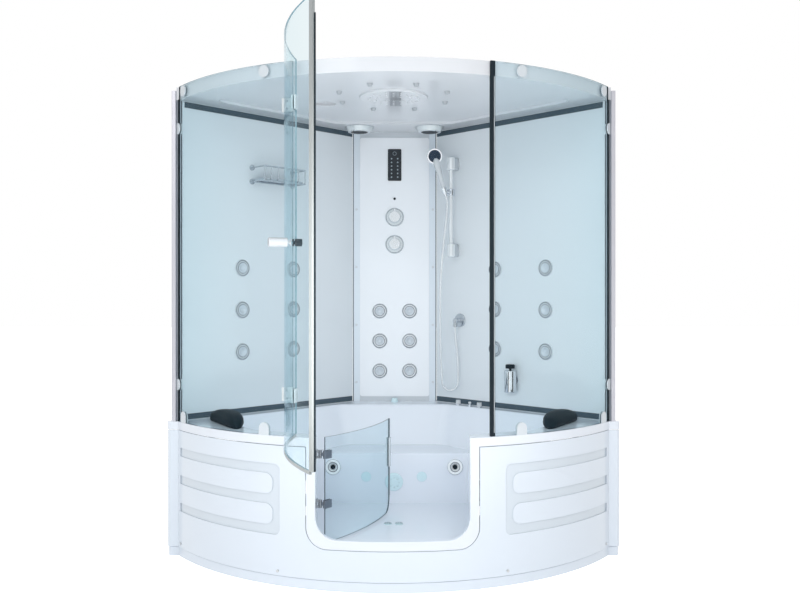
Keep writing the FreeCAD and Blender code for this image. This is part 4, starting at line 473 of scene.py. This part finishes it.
arcSettings = {"centre": (0.0, 0.691), "front": 1.232, "glassOuter": 1.228, "glassInner": 1.222,
               "hinge": 1.2365}
doorSettings = {"hingeX": -0.410, "open": 79.0, "tubHinge": (-0.303, -0.448), "tubOpen": 65.0}


def turnedAbout(point, pivot, degrees):
    angle = math.radians(degrees)
    x, y = point[0] - pivot[0], point[1] - pivot[1]
    return (pivot[0] + x * math.cos(angle) - y * math.sin(angle),
            pivot[1] + x * math.sin(angle) + y * math.cos(angle))


def arcPoint(x, radius):
    # the point at this x on a circle about the centre of the cabin's front
    return x, arcSettings["centre"][1] - math.sqrt(radius ** 2 - x ** 2)


doorPivot = arcPoint(doorSettings["hingeX"], arcSettings["hinge"])
glassCentres = {
    "left_glass": arcSettings["centre"], "right_glass": arcSettings["centre"],
    "door_glass": turnedAbout(arcSettings["centre"], doorPivot, -doorSettings["open"]),
    "tub_door_glass": turnedAbout(arcSettings["centre"], doorSettings["tubHinge"],
                                  doorSettings["tubOpen"]),
}
faceLimits = {"acrossGlass": 0.5, "upright": 0.5, "postSide": 0.9, "lightSide": 0.95,
              "knobTop": 0.8, "shadedHandleGrip": 1.2395}


def paintFaces(name, finish, wanted):
    mesh = cadNodes[name].data
    mesh.materials.append(finish)
    slot = len(mesh.materials) - 1
    for face in mesh.polygons:
        if wanted(face):
            face.material_index = slot


def outwardShare(face, centre):
    # 1 where the face looks straight away from the centre, 0 where it looks along the arc or up
    outward = Vector((face.center.x - centre[0], face.center.y - centre[1], 0.0))
    return face.normal.dot(outward.normalized())


def paneEdge(face, centre):
    return abs(outwardShare(face, centre)) < faceLimits["acrossGlass"]


def besidePost(face):
    return abs(face.center.x) > faceLimits["postSide"]


def paneEnd(face):
    # the upright edge of a fixed pane in its post
    upright = abs(face.normal.z) < faceLimits["upright"]
    return upright and besidePost(face) and paneEdge(face, arcSettings["centre"])


for nodeName, centre in glassCentres.items():
    edgeFinish = darkEdge if nodeName == "tub_door_glass" else glassEdge
    paintFaces(nodeName, edgeFinish, lambda face: paneEdge(face, centre))

# the pane ends in the posts are painted black: painted shade in the gaskets' grooves
for nodeName in ("left_glass", "right_glass"):
    paintFaces(nodeName, blackSeal, paneEnd)

handsetSettings = {
    "foot": (0.270, 0.565, 1.763), "lean": (-0.30, -0.20, 1.0), "headHeight": 0.200,
    "faceFront": -0.0052, "faceReach": 0.0335, "nozzleFront": -0.0065,
    "nozzleRings": ((0.009, 6), (0.018, 12), (0.027, 18)),
    "nozzle": {"radius": 0.0013, "low": -0.0004, "high": 0.0016, "sides": 10}, "gripSides": 40,
}
handsetTurn = Vector((0.0, 0.0, 1.0)).rotation_difference(Vector(handsetSettings["lean"]))


def sprayFace(face):
    place = handsetTurn.inverted() @ (face.center - Vector(handsetSettings["foot"]))
    place.z -= handsetSettings["headHeight"]
    return (place.y < handsetSettings["faceFront"]
            and math.hypot(place.x, place.z) < handsetSettings["faceReach"])


paintFaces("hand_shower", sprayNavy, sprayFace)

ceilingLightSettings = {
    "x": 0.190, "y": 0.640, "lensReach": 0.04491, "lensTop": 2.1249, "collarZ": 2.1250,
    "collar": {"inner": 0.0765, "outer": 0.0800, "low": -0.0003, "high": 0.0016, "sides": 64},
}


def lightLens(face):
    x = abs(face.center.x) - ceilingLightSettings["x"]
    reach = math.hypot(x, face.center.y - ceilingLightSettings["y"])
    return (reach < ceilingLightSettings["lensReach"]
            and face.center.z < ceilingLightSettings["lensTop"])


def lightSide(face):
    return abs(face.normal.z) < faceLimits["lightSide"]


def closedRadius(face):
    # how far out a face of the open upper door lies when that door is shut
    x, y = turnedAbout((face.center.x, face.center.y), doorPivot, doorSettings["open"])
    return math.hypot(x, y - arcSettings["centre"][1])


apronSettings = {"across": (0.46, 1.0), "up": (0.200, 0.520), "floorShare": 0.9,
                 "floorReach": 1.2290, "wallShare": 0.7, "wallReach": 1.2260}


def inRecess(face):
    near, far = apronSettings["across"]
    low, high = apronSettings["up"]
    return near < abs(face.center.x) < far and low < face.center.z < high


def cornerReaches(face):
    x, y = arcSettings["centre"]
    corners = [cadNodes["front_apron"].data.vertices[index].co for index in face.vertices]
    return [math.hypot(corner.x - x, corner.y - y) for corner in corners]


def recessFloor(face):
    return (inRecess(face)
            and outwardShare(face, arcSettings["centre"]) > apronSettings["floorShare"]
            and max(cornerReaches(face)) < apronSettings["floorReach"])


def recessWall(face):
    return (inRecess(face)
            and abs(outwardShare(face, arcSettings["centre"])) < apronSettings["wallShare"]
            and min(cornerReaches(face)) > apronSettings["wallReach"])


# the apron's recess floors and walls get the painted shade
paintFaces("front_apron", recessShadeAcrylic, recessFloor)
paintFaces("front_apron", recessEdgeShade, recessWall)
paintFaces("glass_gaskets", postSeal, besidePost)
paintFaces("ceiling_lights", hingePlate, lightSide)
paintFaces("ceiling_lights", lensGrey, lightLens)
# the handle's part inside the glass is painted black, a painted dark reflection in its chrome
paintFaces("door_handle", blackSeal, lambda face: closedRadius(face) < arcSettings["glassInner"])
# the outer grip gets the darker, painted-shade copy of the white grip
paintFaces("door_handle", shadedHandleGrip, lambda face: closedRadius(face) > faceLimits["shadedHandleGrip"])
paintFaces("right_air_knob", displayBlack, lambda face: face.normal.z > faceLimits["knobTop"])
print("stage: materials")


# shower hose

def newTree(name, inputs):
    tree = bpy.data.node_groups.new(name, "GeometryNodeTree")
    for label, kind in inputs.items():
        tree.interface.new_socket(label, in_out="INPUT", socket_type="NodeSocket" + kind)
    tree.interface.new_socket("Geometry", in_out="OUTPUT", socket_type="NodeSocketGeometry")
    return tree, addNode(tree, "NodeGroupInput"), addNode(tree, "NodeGroupOutput")


def endTree(tree, result, geometry, finish):
    # real geometry and its material come last, because the export drops instances
    whole = addNode(tree, "GeometryNodeRealizeInstances")
    paint = addNode(tree, "GeometryNodeSetMaterial")
    link = tree.links.new
    link(geometry, whole.inputs["Geometry"])
    link(whole.outputs["Geometry"], paint.inputs["Geometry"])
    link(finish, paint.inputs["Material"])
    link(paint.outputs["Geometry"], result.inputs["Geometry"])


def socketId(tree, name):
    return next(item.identifier for item in tree.interface.items_tree
                if item.item_type == "SOCKET" and item.in_out == "INPUT" and item.name == name)


def runTree(item, name, tree, values):
    # gives the tree its inputs and returns what it makes as a plain mesh of this name
    modifier = item.modifiers.new(name, "NODES")
    modifier.node_group = tree
    for label, value in values.items():
        modifier[socketId(tree, label)] = value
    return plainMesh(item, name)


def plainMesh(item, name):
    depsgraph = bpy.context.evaluated_depsgraph_get()
    mesh = bpy.data.meshes.new_from_object(item.evaluated_get(depsgraph), depsgraph=depsgraph)
    mesh.name = name
    plain = newObject(name, mesh)
    bpy.data.objects.remove(item)
    return plain


hoseSettings = {"radius": 0.006, "pitch": 0.0044, "depth": 0.0009, "sides": 16, "stations": 4.0,
                "nut": 0.020, "lead": 0.020, "outlet": (0.326687, 0.601748, 1.045),
                "rise": 0.050}
hoseRoute = [
    (0.284, 0.5745, 1.706), (0.280, 0.576, 1.638), (0.268, 0.575, 1.538), (0.256, 0.578, 1.418),
    (0.248, 0.583, 1.288), (0.245, 0.589, 1.158), (0.2455, 0.592, 1.028), (0.248, 0.595, 0.918),
    (0.252, 0.597, 0.836), (0.2555, 0.5985, 0.774), (0.258, 0.600, 0.727), (0.2825, 0.6005, 0.7025),
    (0.317, 0.601, 0.703), (0.341, 0.6015, 0.728), (0.3435, 0.602, 0.780), (0.342, 0.6025, 0.850),
    (0.3365, 0.6025, 0.925)]


def makeHoseTree(stations):
    # a tube whose radius goes down and up once in each pitch, with this many stations a pitch
    tree, source, result = newTree("hoseRibs", {
        "Geometry": "Geometry", "Radius": "Float", "Pitch": "Float", "Depth": "Float",
        "Sides": "Int", "Finish": "Material"})
    values = source.outputs
    link = tree.links.new
    resample = addNode(tree, "GeometryNodeResampleCurve", mode="LENGTH")
    link(values["Geometry"], resample.inputs["Curve"])
    link(mathNode(tree, "DIVIDE", values["Pitch"], stations), resample.inputs["Length"])
    along = addNode(tree, "GeometryNodeSplineParameter")
    turns = mathNode(tree, "DIVIDE", along.outputs["Length"], values["Pitch"])
    wave = mathNode(tree, "COSINE", mathNode(tree, "MULTIPLY", turns, 2 * math.pi))
    share = rangeNode(tree, wave, 0.0, 1.0, start=-1.0)
    sink = mathNode(tree, "MULTIPLY", share, values["Depth"])
    radius = addNode(tree, "GeometryNodeSetCurveRadius")
    link(resample.outputs["Curve"], radius.inputs["Curve"])
    link(mathNode(tree, "SUBTRACT", values["Radius"], sink), radius.inputs["Radius"])
    ring = addNode(tree, "GeometryNodeCurvePrimitiveCircle")
    ring.inputs["Radius"].default_value = 1.0
    link(values["Sides"], ring.inputs["Resolution"])
    tube = addNode(tree, "GeometryNodeCurveToMesh")
    tube.inputs["Fill Caps"].default_value = True
    link(radius.outputs["Curve"], tube.inputs["Curve"])
    link(ring.outputs["Curve"], tube.inputs["Profile Curve"])
    reading = addNode(tree, "GeometryNodeInputRadius")
    link(reading.outputs[0], tube.inputs["Scale"])
    endTree(tree, result, tube.outputs["Mesh"], values["Finish"])
    return tree


def makeHose(settings):
    lean = Vector(handsetSettings["lean"]).normalized()
    start = Vector(handsetSettings["foot"]) - lean * settings["nut"]
    lead = start - lean * settings["lead"]
    outlet = Vector(settings["outlet"])
    points = [start, lead] + [Vector(point) for point in hoseRoute]
    points += [outlet - Vector((0.0, 0.0, settings["rise"])), outlet]
    curve = bpy.data.curves.new("hoseLine", "CURVE")
    curve.dimensions = "3D"
    spline = curve.splines.new("NURBS")
    spline.points.add(len(points) - 1)
    for point, place in zip(spline.points, reversed(points)):
        point.co = (*place, 1.0)
    spline.order_u = 3
    spline.use_endpoint_u = True
    line = newObject("hoseLine", curve)
    traced = bpy.data.meshes.new_from_object(line)
    bpy.data.meshes.remove(traced)
    hose = runTree(line, "ribbedHose", makeHoseTree(settings["stations"]), {
        "Radius": settings["radius"], "Pitch": settings["pitch"], "Depth": settings["depth"],
        "Sides": settings["sides"], "Finish": hoseSilver})
    for face in hose.data.polygons:
        face.use_smooth = True
    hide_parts("shower_hose")
    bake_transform(hose)


makeHose(hoseSettings)
print("stage: hose")


# pieces that repeat

def circlePoints(radius, count):
    turns = [2 * math.pi * index / count for index in range(count)]
    return [(radius * math.cos(turn), radius * math.sin(turn)) for turn in turns]


def latheMesh(name, profile, segments, closed=False):
    # turns a profile of (radius, height) pairs about Z; the profile starts at its lowest point and
    # runs outwards, up and back in, and a closed one joins its last pair to its first, for a ring
    shape = bmesh.new()
    rings = []
    for radius, height in profile:
        spots = circlePoints(radius, segments) if radius else [(0.0, 0.0)]
        rings.append([shape.verts.new((x, y, height)) for x, y in spots])
    pairs = list(zip(rings, rings[1:]))
    if closed:
        pairs.append((rings[-1], rings[0]))
    for low, high in pairs:
        for index in range(segments):
            following = (index + 1) % segments
            if len(low) == 1:
                corners = (low[0], high[following], high[index])
            elif len(high) == 1:
                corners = (low[index], low[following], high[0])
            else:
                corners = (low[index], low[following], high[following], high[index])
            shape.faces.new(corners).smooth = True
    return storeMesh(name, shape)


def ringProfile(inner, outer, low, high, soft):
    return [(inner, low), (outer, low), (outer, high - soft), (outer - soft, high),
            (inner + soft, high), (inner, high - soft)]


def buttonProfile(radius, low, high, soft):
    return [(0.0, low), (radius, low), (radius, high - soft), (radius - soft, high), (0.0, high)]


def makeRepeatTree():
    tree, source, result = newTree("repeatOnPoints", {
        "Geometry": "Geometry", "Piece": "Object", "Finish": "Material"})
    link = tree.links.new
    shape = addNode(tree, "GeometryNodeObjectInfo")
    link(source.outputs["Piece"], shape.inputs["Object"])
    turn = addNode(tree, "GeometryNodeInputNamedAttribute", data_type="FLOAT_VECTOR")
    turn.inputs["Name"].default_value = "turn"
    spread = addNode(tree, "GeometryNodeInstanceOnPoints")
    link(source.outputs["Geometry"], spread.inputs["Points"])
    link(shape.outputs["Geometry"], spread.inputs["Instance"])
    link(turn.outputs["Attribute"], spread.inputs["Rotation"])
    endTree(tree, result, spread.outputs["Instances"], source.outputs["Finish"])
    return tree


repeatTree = makeRepeatTree()


def repeatPiece(name, shape, places, finish, body):
    # places holds a point and a turn for each copy
    template = newObject(name + "Template", shape)
    cloud = bpy.data.meshes.new(name + "Points")
    cloud.from_pydata([tuple(place) for place, turn in places], [], [])
    turns = cloud.attributes.new("turn", "FLOAT_VECTOR", "POINT")
    for item, (place, turn) in zip(turns.data, places):
        item.vector = turn
    points = newObject(name + "Points", cloud)
    piece = runTree(points, name, repeatTree, {"Piece": template, "Finish": finish})
    bpy.data.objects.remove(template)
    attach(piece, body)


softEdge = 0.0004


def makeRings(name, ring, places, finish=ringGrey):
    profile = ringProfile(ring["inner"], ring["outer"], ring["low"], ring["high"], softEdge)
    shape = latheMesh(name, profile, ring["sides"], closed=True)
    repeatPiece(name, shape, places, finish, "root")


def makeButtons(name, button, places, finish=ringGrey, body="root"):
    soft = button.get("soft", softEdge)
    profile = buttonProfile(button["radius"], button["low"], button["high"], soft)
    repeatPiece(name, latheMesh(name, profile, button["sides"]), places, finish, body)


def bothSides(x, y, z, turn):
    return [((side * x, y, z), turn) for side in (-1, 1)]


facingFront = (math.pi / 2, 0.0, 0.0)
facingDown = (math.pi, 0.0, 0.0)
facingUp = (0.0, 0.0, 0.0)
facingLeftWall = (math.pi / 2, 0.0, math.pi / 4)
facingRightWall = (math.pi / 2, 0.0, -math.pi / 4)

jetSettings = {
    "columnX": 0.083, "columnY": 0.762, "columnZ": (0.794, 0.961, 1.127),
    "wallCorner": 0.99066, "alongWall": (0.335, 0.653), "wallZ": (0.934, 1.141, 1.349),
    "rimShadeRing": {"inner": 0.0348, "outer": 0.0386, "low": 0.0065, "high": 0.0078, "sides": 48},
    "nozzleShadeRing": {"inner": 0.0248, "outer": 0.0282, "low": 0.0065, "high": 0.0078, "sides": 48},
}


def jetPlaces(settings):
    places = [((side * settings["columnX"], settings["columnY"], z), facingFront)
              for side in (-1, 1) for z in settings["columnZ"]]
    for along in settings["alongWall"]:
        step = along / math.sqrt(2)
        reach = settings["wallCorner"] - step
        for z in settings["wallZ"]:
            places.append(((-reach, step, z), facingLeftWall))
            places.append(((reach, step, z), facingRightWall))
    return places


# dark rings of painted shade on each jet rosette: one on its rounded rim and one at the step round
# the nozzle
def makeJetShadeRings(settings):
    makeRings("jetOuterRings", settings["rimShadeRing"], jetPlaces(settings))
    makeRings("jetInnerRings", settings["nozzleShadeRing"], jetPlaces(settings))


makeJetShadeRings(jetSettings)

knobSettings = {
    "z": (1.498, 1.649), "face": 0.755,
    "ring": {"inner": 0.0452, "outer": 0.0478, "low": -0.0005, "high": 0.0008, "sides": 64},
    "dotCircle": 0.0375, "dotAngles": (-120, -80, -40, 40, 80, 120),
    "dot": {"radius": 0.00132, "low": -0.0003, "high": 0.0005, "soft": 0.0002, "sides": 12},
}


# a dark ring of painted shade on each knob rosette's rounded rim, and the printed scale dots round
# it
def makeKnobShadeAndDots(settings):
    face = settings["face"]
    places = [((0.0, face, z), facingFront) for z in settings["z"]]
    makeRings("knobRings", settings["ring"], places)
    circle = settings["dotCircle"]
    turns = [math.radians(angle) for angle in settings["dotAngles"]]
    dots = [((circle * math.sin(turn), face, z + circle * math.cos(turn)), facingFront)
            for z in settings["z"] for turn in turns]
    makeButtons("scaleDots", settings["dot"], dots)


makeKnobShadeAndDots(knobSettings)

displaySettings = {
    "face": 0.756, "bottom": 1.872, "pitch": 0.0205, "rows": 6, "column": 0.017,
    "key": {"radius": 0.0042, "low": -0.0003, "high": 0.0009, "sides": 20}, "markZ": 2.003,
    "mark": {"inner": 0.0085, "outer": 0.0105, "low": -0.0003, "high": 0.0007, "sides": 32},
}


def makeDisplayKeys(settings):
    keys = []
    for row in range(settings["rows"]):
        z = settings["bottom"] + row * settings["pitch"]
        keys += bothSides(settings["column"], settings["face"], z, facingFront)
    makeButtons("displayKeys", settings["key"], keys, keyPrint)
    place = [((0.0, settings["face"], settings["markZ"]), facingFront)]
    makeRings("displayMark", settings["mark"], place, keyPrint)


makeDisplayKeys(displaySettings)


def makeSprayNozzles(settings):
    foot = Vector(settings["foot"])
    turn = tuple((handsetTurn.to_matrix() @ Matrix.Rotation(math.pi / 2, 3, "X")).to_euler())
    places = []
    for radius, count in settings["nozzleRings"]:
        for up, across in circlePoints(radius, count):
            local = Vector((across, settings["nozzleFront"], settings["headHeight"] + up))
            places.append((foot + handsetTurn @ local, turn))
    makeButtons("sprayNozzles", settings["nozzle"], places, nozzleDark, "holder")


makeSprayNozzles(handsetSettings)

drainSettings = {
    "x": 0.025, "y": -0.129, "z": 0.179, "circle": 0.011, "count": 8,
    "hole": {"radius": 0.0021, "low": -0.0003, "high": 0.0004, "soft": 0.0002, "sides": 12},
    "rim": {"inner": 0.0150, "outer": 0.0172, "low": -0.0003, "high": 0.0006, "sides": 40},
}


# dark discs of painted shade in the drains' holes, and a dark rim round each drain
def makeDrainHoles(settings):
    x, y, z = settings["x"], settings["y"], settings["z"]
    holes = []
    for side in (-1, 1):
        spots = circlePoints(settings["circle"], settings["count"]) + [(0.0, 0.0)]
        holes += [((side * x + across, y + back, z), facingUp) for across, back in spots]
    makeButtons("drainHoles", settings["hole"], holes)
    makeRings("drainRims", settings["rim"], bothSides(x, y, z, facingUp))


makeDrainHoles(drainSettings)

suctionSettings = {
    "z": 0.281, "face": 0.2685, "circle": 0.02475, "count": 8,
    "slot": {"radius": 0.0049, "low": -0.0006, "high": 0.0, "soft": 0.0002, "sides": 20},
}


# dark discs of painted shade in the suction cover's slots
def makeSuctionSlots(settings):
    places = [((across, settings["face"], settings["z"] + up), facingFront)
              for up, across in circlePoints(settings["circle"], settings["count"])]
    makeButtons("suctionSlots", settings["slot"], places)


makeSuctionSlots(suctionSettings)

hydroSettings = {
    "x": 0.305, "z": 0.356, "face": 0.263,
    "ring": {"inner": 0.0215, "outer": 0.0250, "low": -0.0006, "high": 0.0012, "sides": 40},
    "rim": {"inner": 0.0372, "outer": 0.0390, "low": -0.0006, "high": 0.0008, "sides": 48},
    "eye": {"radius": 0.0115, "low": -0.006, "high": 0.0026, "soft": 0.0012, "sides": 32},
}


def makeHydroRings(settings):
    places = bothSides(settings["x"], settings["face"], settings["z"], facingFront)
    makeRings("hydroRings", settings["ring"], places)
    makeRings("hydroRims", settings["rim"], places, railChrome)
    makeButtons("hydroEyes", settings["eye"], places, blackSeal)


makeHydroRings(hydroSettings)


def glassAngle(x):
    # where on the arc, from the middle of the front, the glass is at this x
    return math.asin(x / arcSettings["glassOuter"])


def arcPlace(centre, reach, angle):
    return centre[0] + reach * math.sin(angle), centre[1] - reach * math.cos(angle)


screwSettings = {
    "web": 0.006, "plate": 0.044, "z": (0.801, 2.003), "rise": 0.01624, "face": 1.2333,
    "screw": {"radius": 0.0052, "low": -0.0004, "high": 0.0016, "soft": 0.0007, "sides": 20},
}


def makeHingeScrews(settings):
    # the fixed plates stay with the pane and the others turn with the open door
    swing = doorSettings["open"]
    plates = ((-1, 0.0, "root", "fixedHingeScrews"), (1, swing, "door", "doorHingeScrews"))
    for side, turned, body, name in plates:
        x = doorSettings["hingeX"] + side * (settings["web"] + settings["plate"] / 2)
        angle = glassAngle(x)
        place = turnedAbout(arcPlace(arcSettings["centre"], settings["face"], angle), doorPivot,
                            -turned)
        turn = (math.pi / 2, 0.0, angle - math.radians(turned))
        places = [((*place, z + lift), turn)
                  for z in settings["z"] for lift in (-settings["rise"], settings["rise"])]
        makeButtons(name, settings["screw"], places, darkChrome, body)


makeHingeScrews(screwSettings)


def boxMesh(name, size, soft=0.0, steps=0):
    # a box about the origin; soft is how far its edges are rounded, in so many steps
    shape = bmesh.new()
    bmesh.ops.create_cube(shape, size=1.0, matrix=Matrix.Diagonal((*size, 1.0)))
    if soft:
        bmesh.ops.bevel(shape, geom=shape.edges[:], offset=soft, segments=steps, profile=0.5,
                        affect="EDGES")
        for face in shape.faces:
            face.smooth = True
    return storeMesh(name, shape)


slatSettings = {"x": (-0.016, 0.033), "y": (-0.167, 0.116), "z": 2.1260, "count": 9,
                "width": 0.0030, "deep": 0.0016}


# thin dark boxes of painted shade in the rain head's slots
def makeRainSlotShade(settings):
    left, right = settings["x"]
    front, back = settings["y"]
    pitch = (right - left) / (settings["count"] - 1)
    places = [((left + index * pitch, (front + back) / 2, settings["z"]), facingUp)
              for index in range(settings["count"])]
    shape = boxMesh("rainSlats", (settings["width"], back - front, settings["deep"]))
    repeatPiece("rainSlats", shape, places, slatShade, "root")


makeRainSlotShade(slatSettings)

bracketSettings = {"place": (0.3196, 0.6286), "z": (1.457, 1.925), "size": (0.040, 0.058, 0.072),
                   "soft": 0.011, "softSteps": 5, "turn": (0.0, 0.0, -math.pi / 4)}


def makeRailBrackets(settings):
    shape = boxMesh("railBrackets", settings["size"], settings["soft"], settings["softSteps"])
    places = [((*settings["place"], z), settings["turn"]) for z in settings["z"]]
    repeatPiece("railBrackets", shape, places, bracketShell, "root")


makeRailBrackets(bracketSettings)

gripProfile = [(0.0, 0.029), (0.0100, 0.029), (0.0112, 0.040), (0.0130, 0.085), (0.0155, 0.130),
               (0.0178, 0.160), (0.0170, 0.176), (0.0100, 0.188), (0.0, 0.190)]


def makeGripSleeve(settings):
    place = [(settings["foot"], tuple(handsetTurn.to_euler()))]
    shape = latheMesh("gripSleeve", gripProfile, settings["gripSides"])
    repeatPiece("gripSleeve", shape, place, whiteGrip, "holder")


makeGripSleeve(handsetSettings)


def makeLightCollars(settings):
    places = bothSides(settings["x"], settings["y"], settings["collarZ"], facingDown)
    makeRings("lightCollars", settings["collar"], places, lightRim)


makeLightCollars(ceilingLightSettings)
print("stage: rings, keys, nozzles and screws")


# lines along the seals

sealSettings = {"low": 0.642, "high": 2.121, "middle": 1.225, "doorEdge": (0.3940, 0.4003),
                "doorThickness": 0.0078, "doorInset": 0.0038, "paneLight": (0.4185, 0.4212),
                "paneThickness": 0.0154, "soft": 0.0008, "softSteps": 2}


def arcStrip(name, centre, radius, angles, thickness, finish, body):
    # a thin upright strip that follows the curve of the glass from one angle to the other
    shape = bmesh.new()
    corners = []
    for angle in (angles[0], sum(angles) / 2, angles[1]):
        for reach in (radius - thickness / 2, radius + thickness / 2):
            place = arcPlace(centre, reach, angle)
            corners.append([shape.verts.new((*place, sealSettings["low"])),
                            shape.verts.new((*place, sealSettings["high"]))])
    for first, second in ((0, 2), (2, 4), (3, 1), (5, 3), (4, 5), (1, 0)):
        shape.faces.new((corners[first][0], corners[second][0],
                         corners[second][1], corners[first][1]))
    for first, second, third, fourth in ((0, 1, 3, 2), (2, 3, 5, 4)):
        shape.faces.new([corners[index][0] for index in (first, second, third, fourth)])
        shape.faces.new([corners[index][1] for index in (fourth, third, second, first)])
    bmesh.ops.recalc_face_normals(shape, faces=shape.faces)
    mesh = storeMesh(name, shape)
    mesh.materials.append(finish)
    strip = newObject(name, mesh)
    bevel = strip.modifiers.new("soft", "BEVEL")
    bevel.width = sealSettings["soft"]
    bevel.segments = sealSettings["softSteps"]
    strip = plainMesh(strip, name)
    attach(strip, body)


def makeSealEdges(settings):
    swing = math.radians(doorSettings["open"])
    angles = [glassAngle(x) - swing for x in settings["doorEdge"]]
    arcStrip("doorSealMagnet", glassCentres["door_glass"],
             settings["middle"] - settings["doorInset"], angles, settings["doorThickness"],
             blackSeal, "door")
    angles = [glassAngle(x) for x in settings["paneLight"]]
    arcStrip("paneSealLine", arcSettings["centre"], settings["middle"], angles,
             settings["paneThickness"], clearSeal, "root")


makeSealEdges(sealSettings)


# pillows

pillowSettings = {"length": 0.345, "width": 0.100, "thickness": 0.064, "x": 0.772, "inset": 0.117,
                  "turn": 59.1, "bow": 0.026, "base": 0.6253, "stations": 56, "sides": 44,
                  "fill": 0.9, "tipSharpness": 2.3, "fullness": 0.62, "tipHeight": 0.30,
                  "tipSlope": 2.2, "squareness": 0.86, "seamHeight": 0.36, "crown": 0.92,
                  "underside": 1.5, "seamTurn": 0.12, "seamWidth": 0.10, "seamDepth": 0.0016,
                  "seamFade": 3, "tipStop": 0.9995, "weld": 0.00002}


def pillowSection(settings, along, around):
    # share is how full the pillow is, from 0 at a tip to 1 at the middle
    share = max(0.0, 1.0 - abs(along) ** settings["tipSharpness"]) ** settings["fullness"]
    half = settings["width"] / 2 * share
    tall = settings["tipHeight"] + (1.0 - settings["tipHeight"]) * share
    tall *= settings["thickness"] * min(1.0, share * settings["tipSlope"])
    cosine, lift = math.cos(around), math.sin(around)
    across = math.copysign(abs(cosine) ** settings["squareness"], cosine) * half
    seamHeight = settings["seamHeight"]
    if lift >= 0:
        up = tall * (seamHeight + (1.0 - seamHeight) * lift ** settings["crown"])
    else:
        up = tall * seamHeight * (1.0 - min(1.0, -lift * settings["underside"]))
    seams = (settings["seamTurn"], math.pi - settings["seamTurn"])
    seam = sum(math.exp(-((around - turn) / settings["seamWidth"]) ** 2) for turn in seams)
    seam *= min(1.0, share * settings["seamFade"])
    across -= math.copysign(settings["seamDepth"] * seam, across)
    return across + settings["bow"] * (1.0 - along ** 2), up


def makePillow(name, side, settings):
    centre = arcPoint(settings["x"], arcSettings["front"] - settings["inset"])
    turn = math.radians(settings["turn"])
    shape = bmesh.new()
    rings = []
    for station in range(settings["stations"] + 1):
        along = -math.cos(math.pi * station / settings["stations"])
        x = along * settings["length"] / 2
        ring = []
        for index in range(settings["sides"]):
            around = 2 * math.pi * index / settings["sides"]
            across, up = pillowSection(settings, along * settings["tipStop"], around)
            place = (centre[0] + x * math.cos(turn) - across * math.sin(turn),
                     centre[1] + x * math.sin(turn) + across * math.cos(turn))
            ring.append(shape.verts.new((side * place[0], place[1], settings["base"] + up)))
        rings.append(ring)
    for low, high in zip(rings, rings[1:]):
        for index in range(len(low)):
            following = (index + 1) % len(low)
            shape.faces.new((low[index], low[following], high[following], high[index]))
    for ring in (rings[0], rings[-1]):
        shape.faces.new(ring)
    bmesh.ops.remove_doubles(shape, verts=shape.verts, dist=settings["weld"])
    bmesh.ops.recalc_face_normals(shape, faces=shape.faces)
    for face in shape.faces:
        face.smooth = True
    mesh = storeMesh(name, shape)
    mesh.materials.append(pillowSkin)
    pillow = newObject(name, mesh)
    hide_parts("left_pillow" if side < 0 else "right_pillow")
    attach(pillow, "root")


makePillow("leftHeadRest", -1, pillowSettings)
makePillow("rightHeadRest", 1, pillowSettings)
print("stage: seals and pillows")
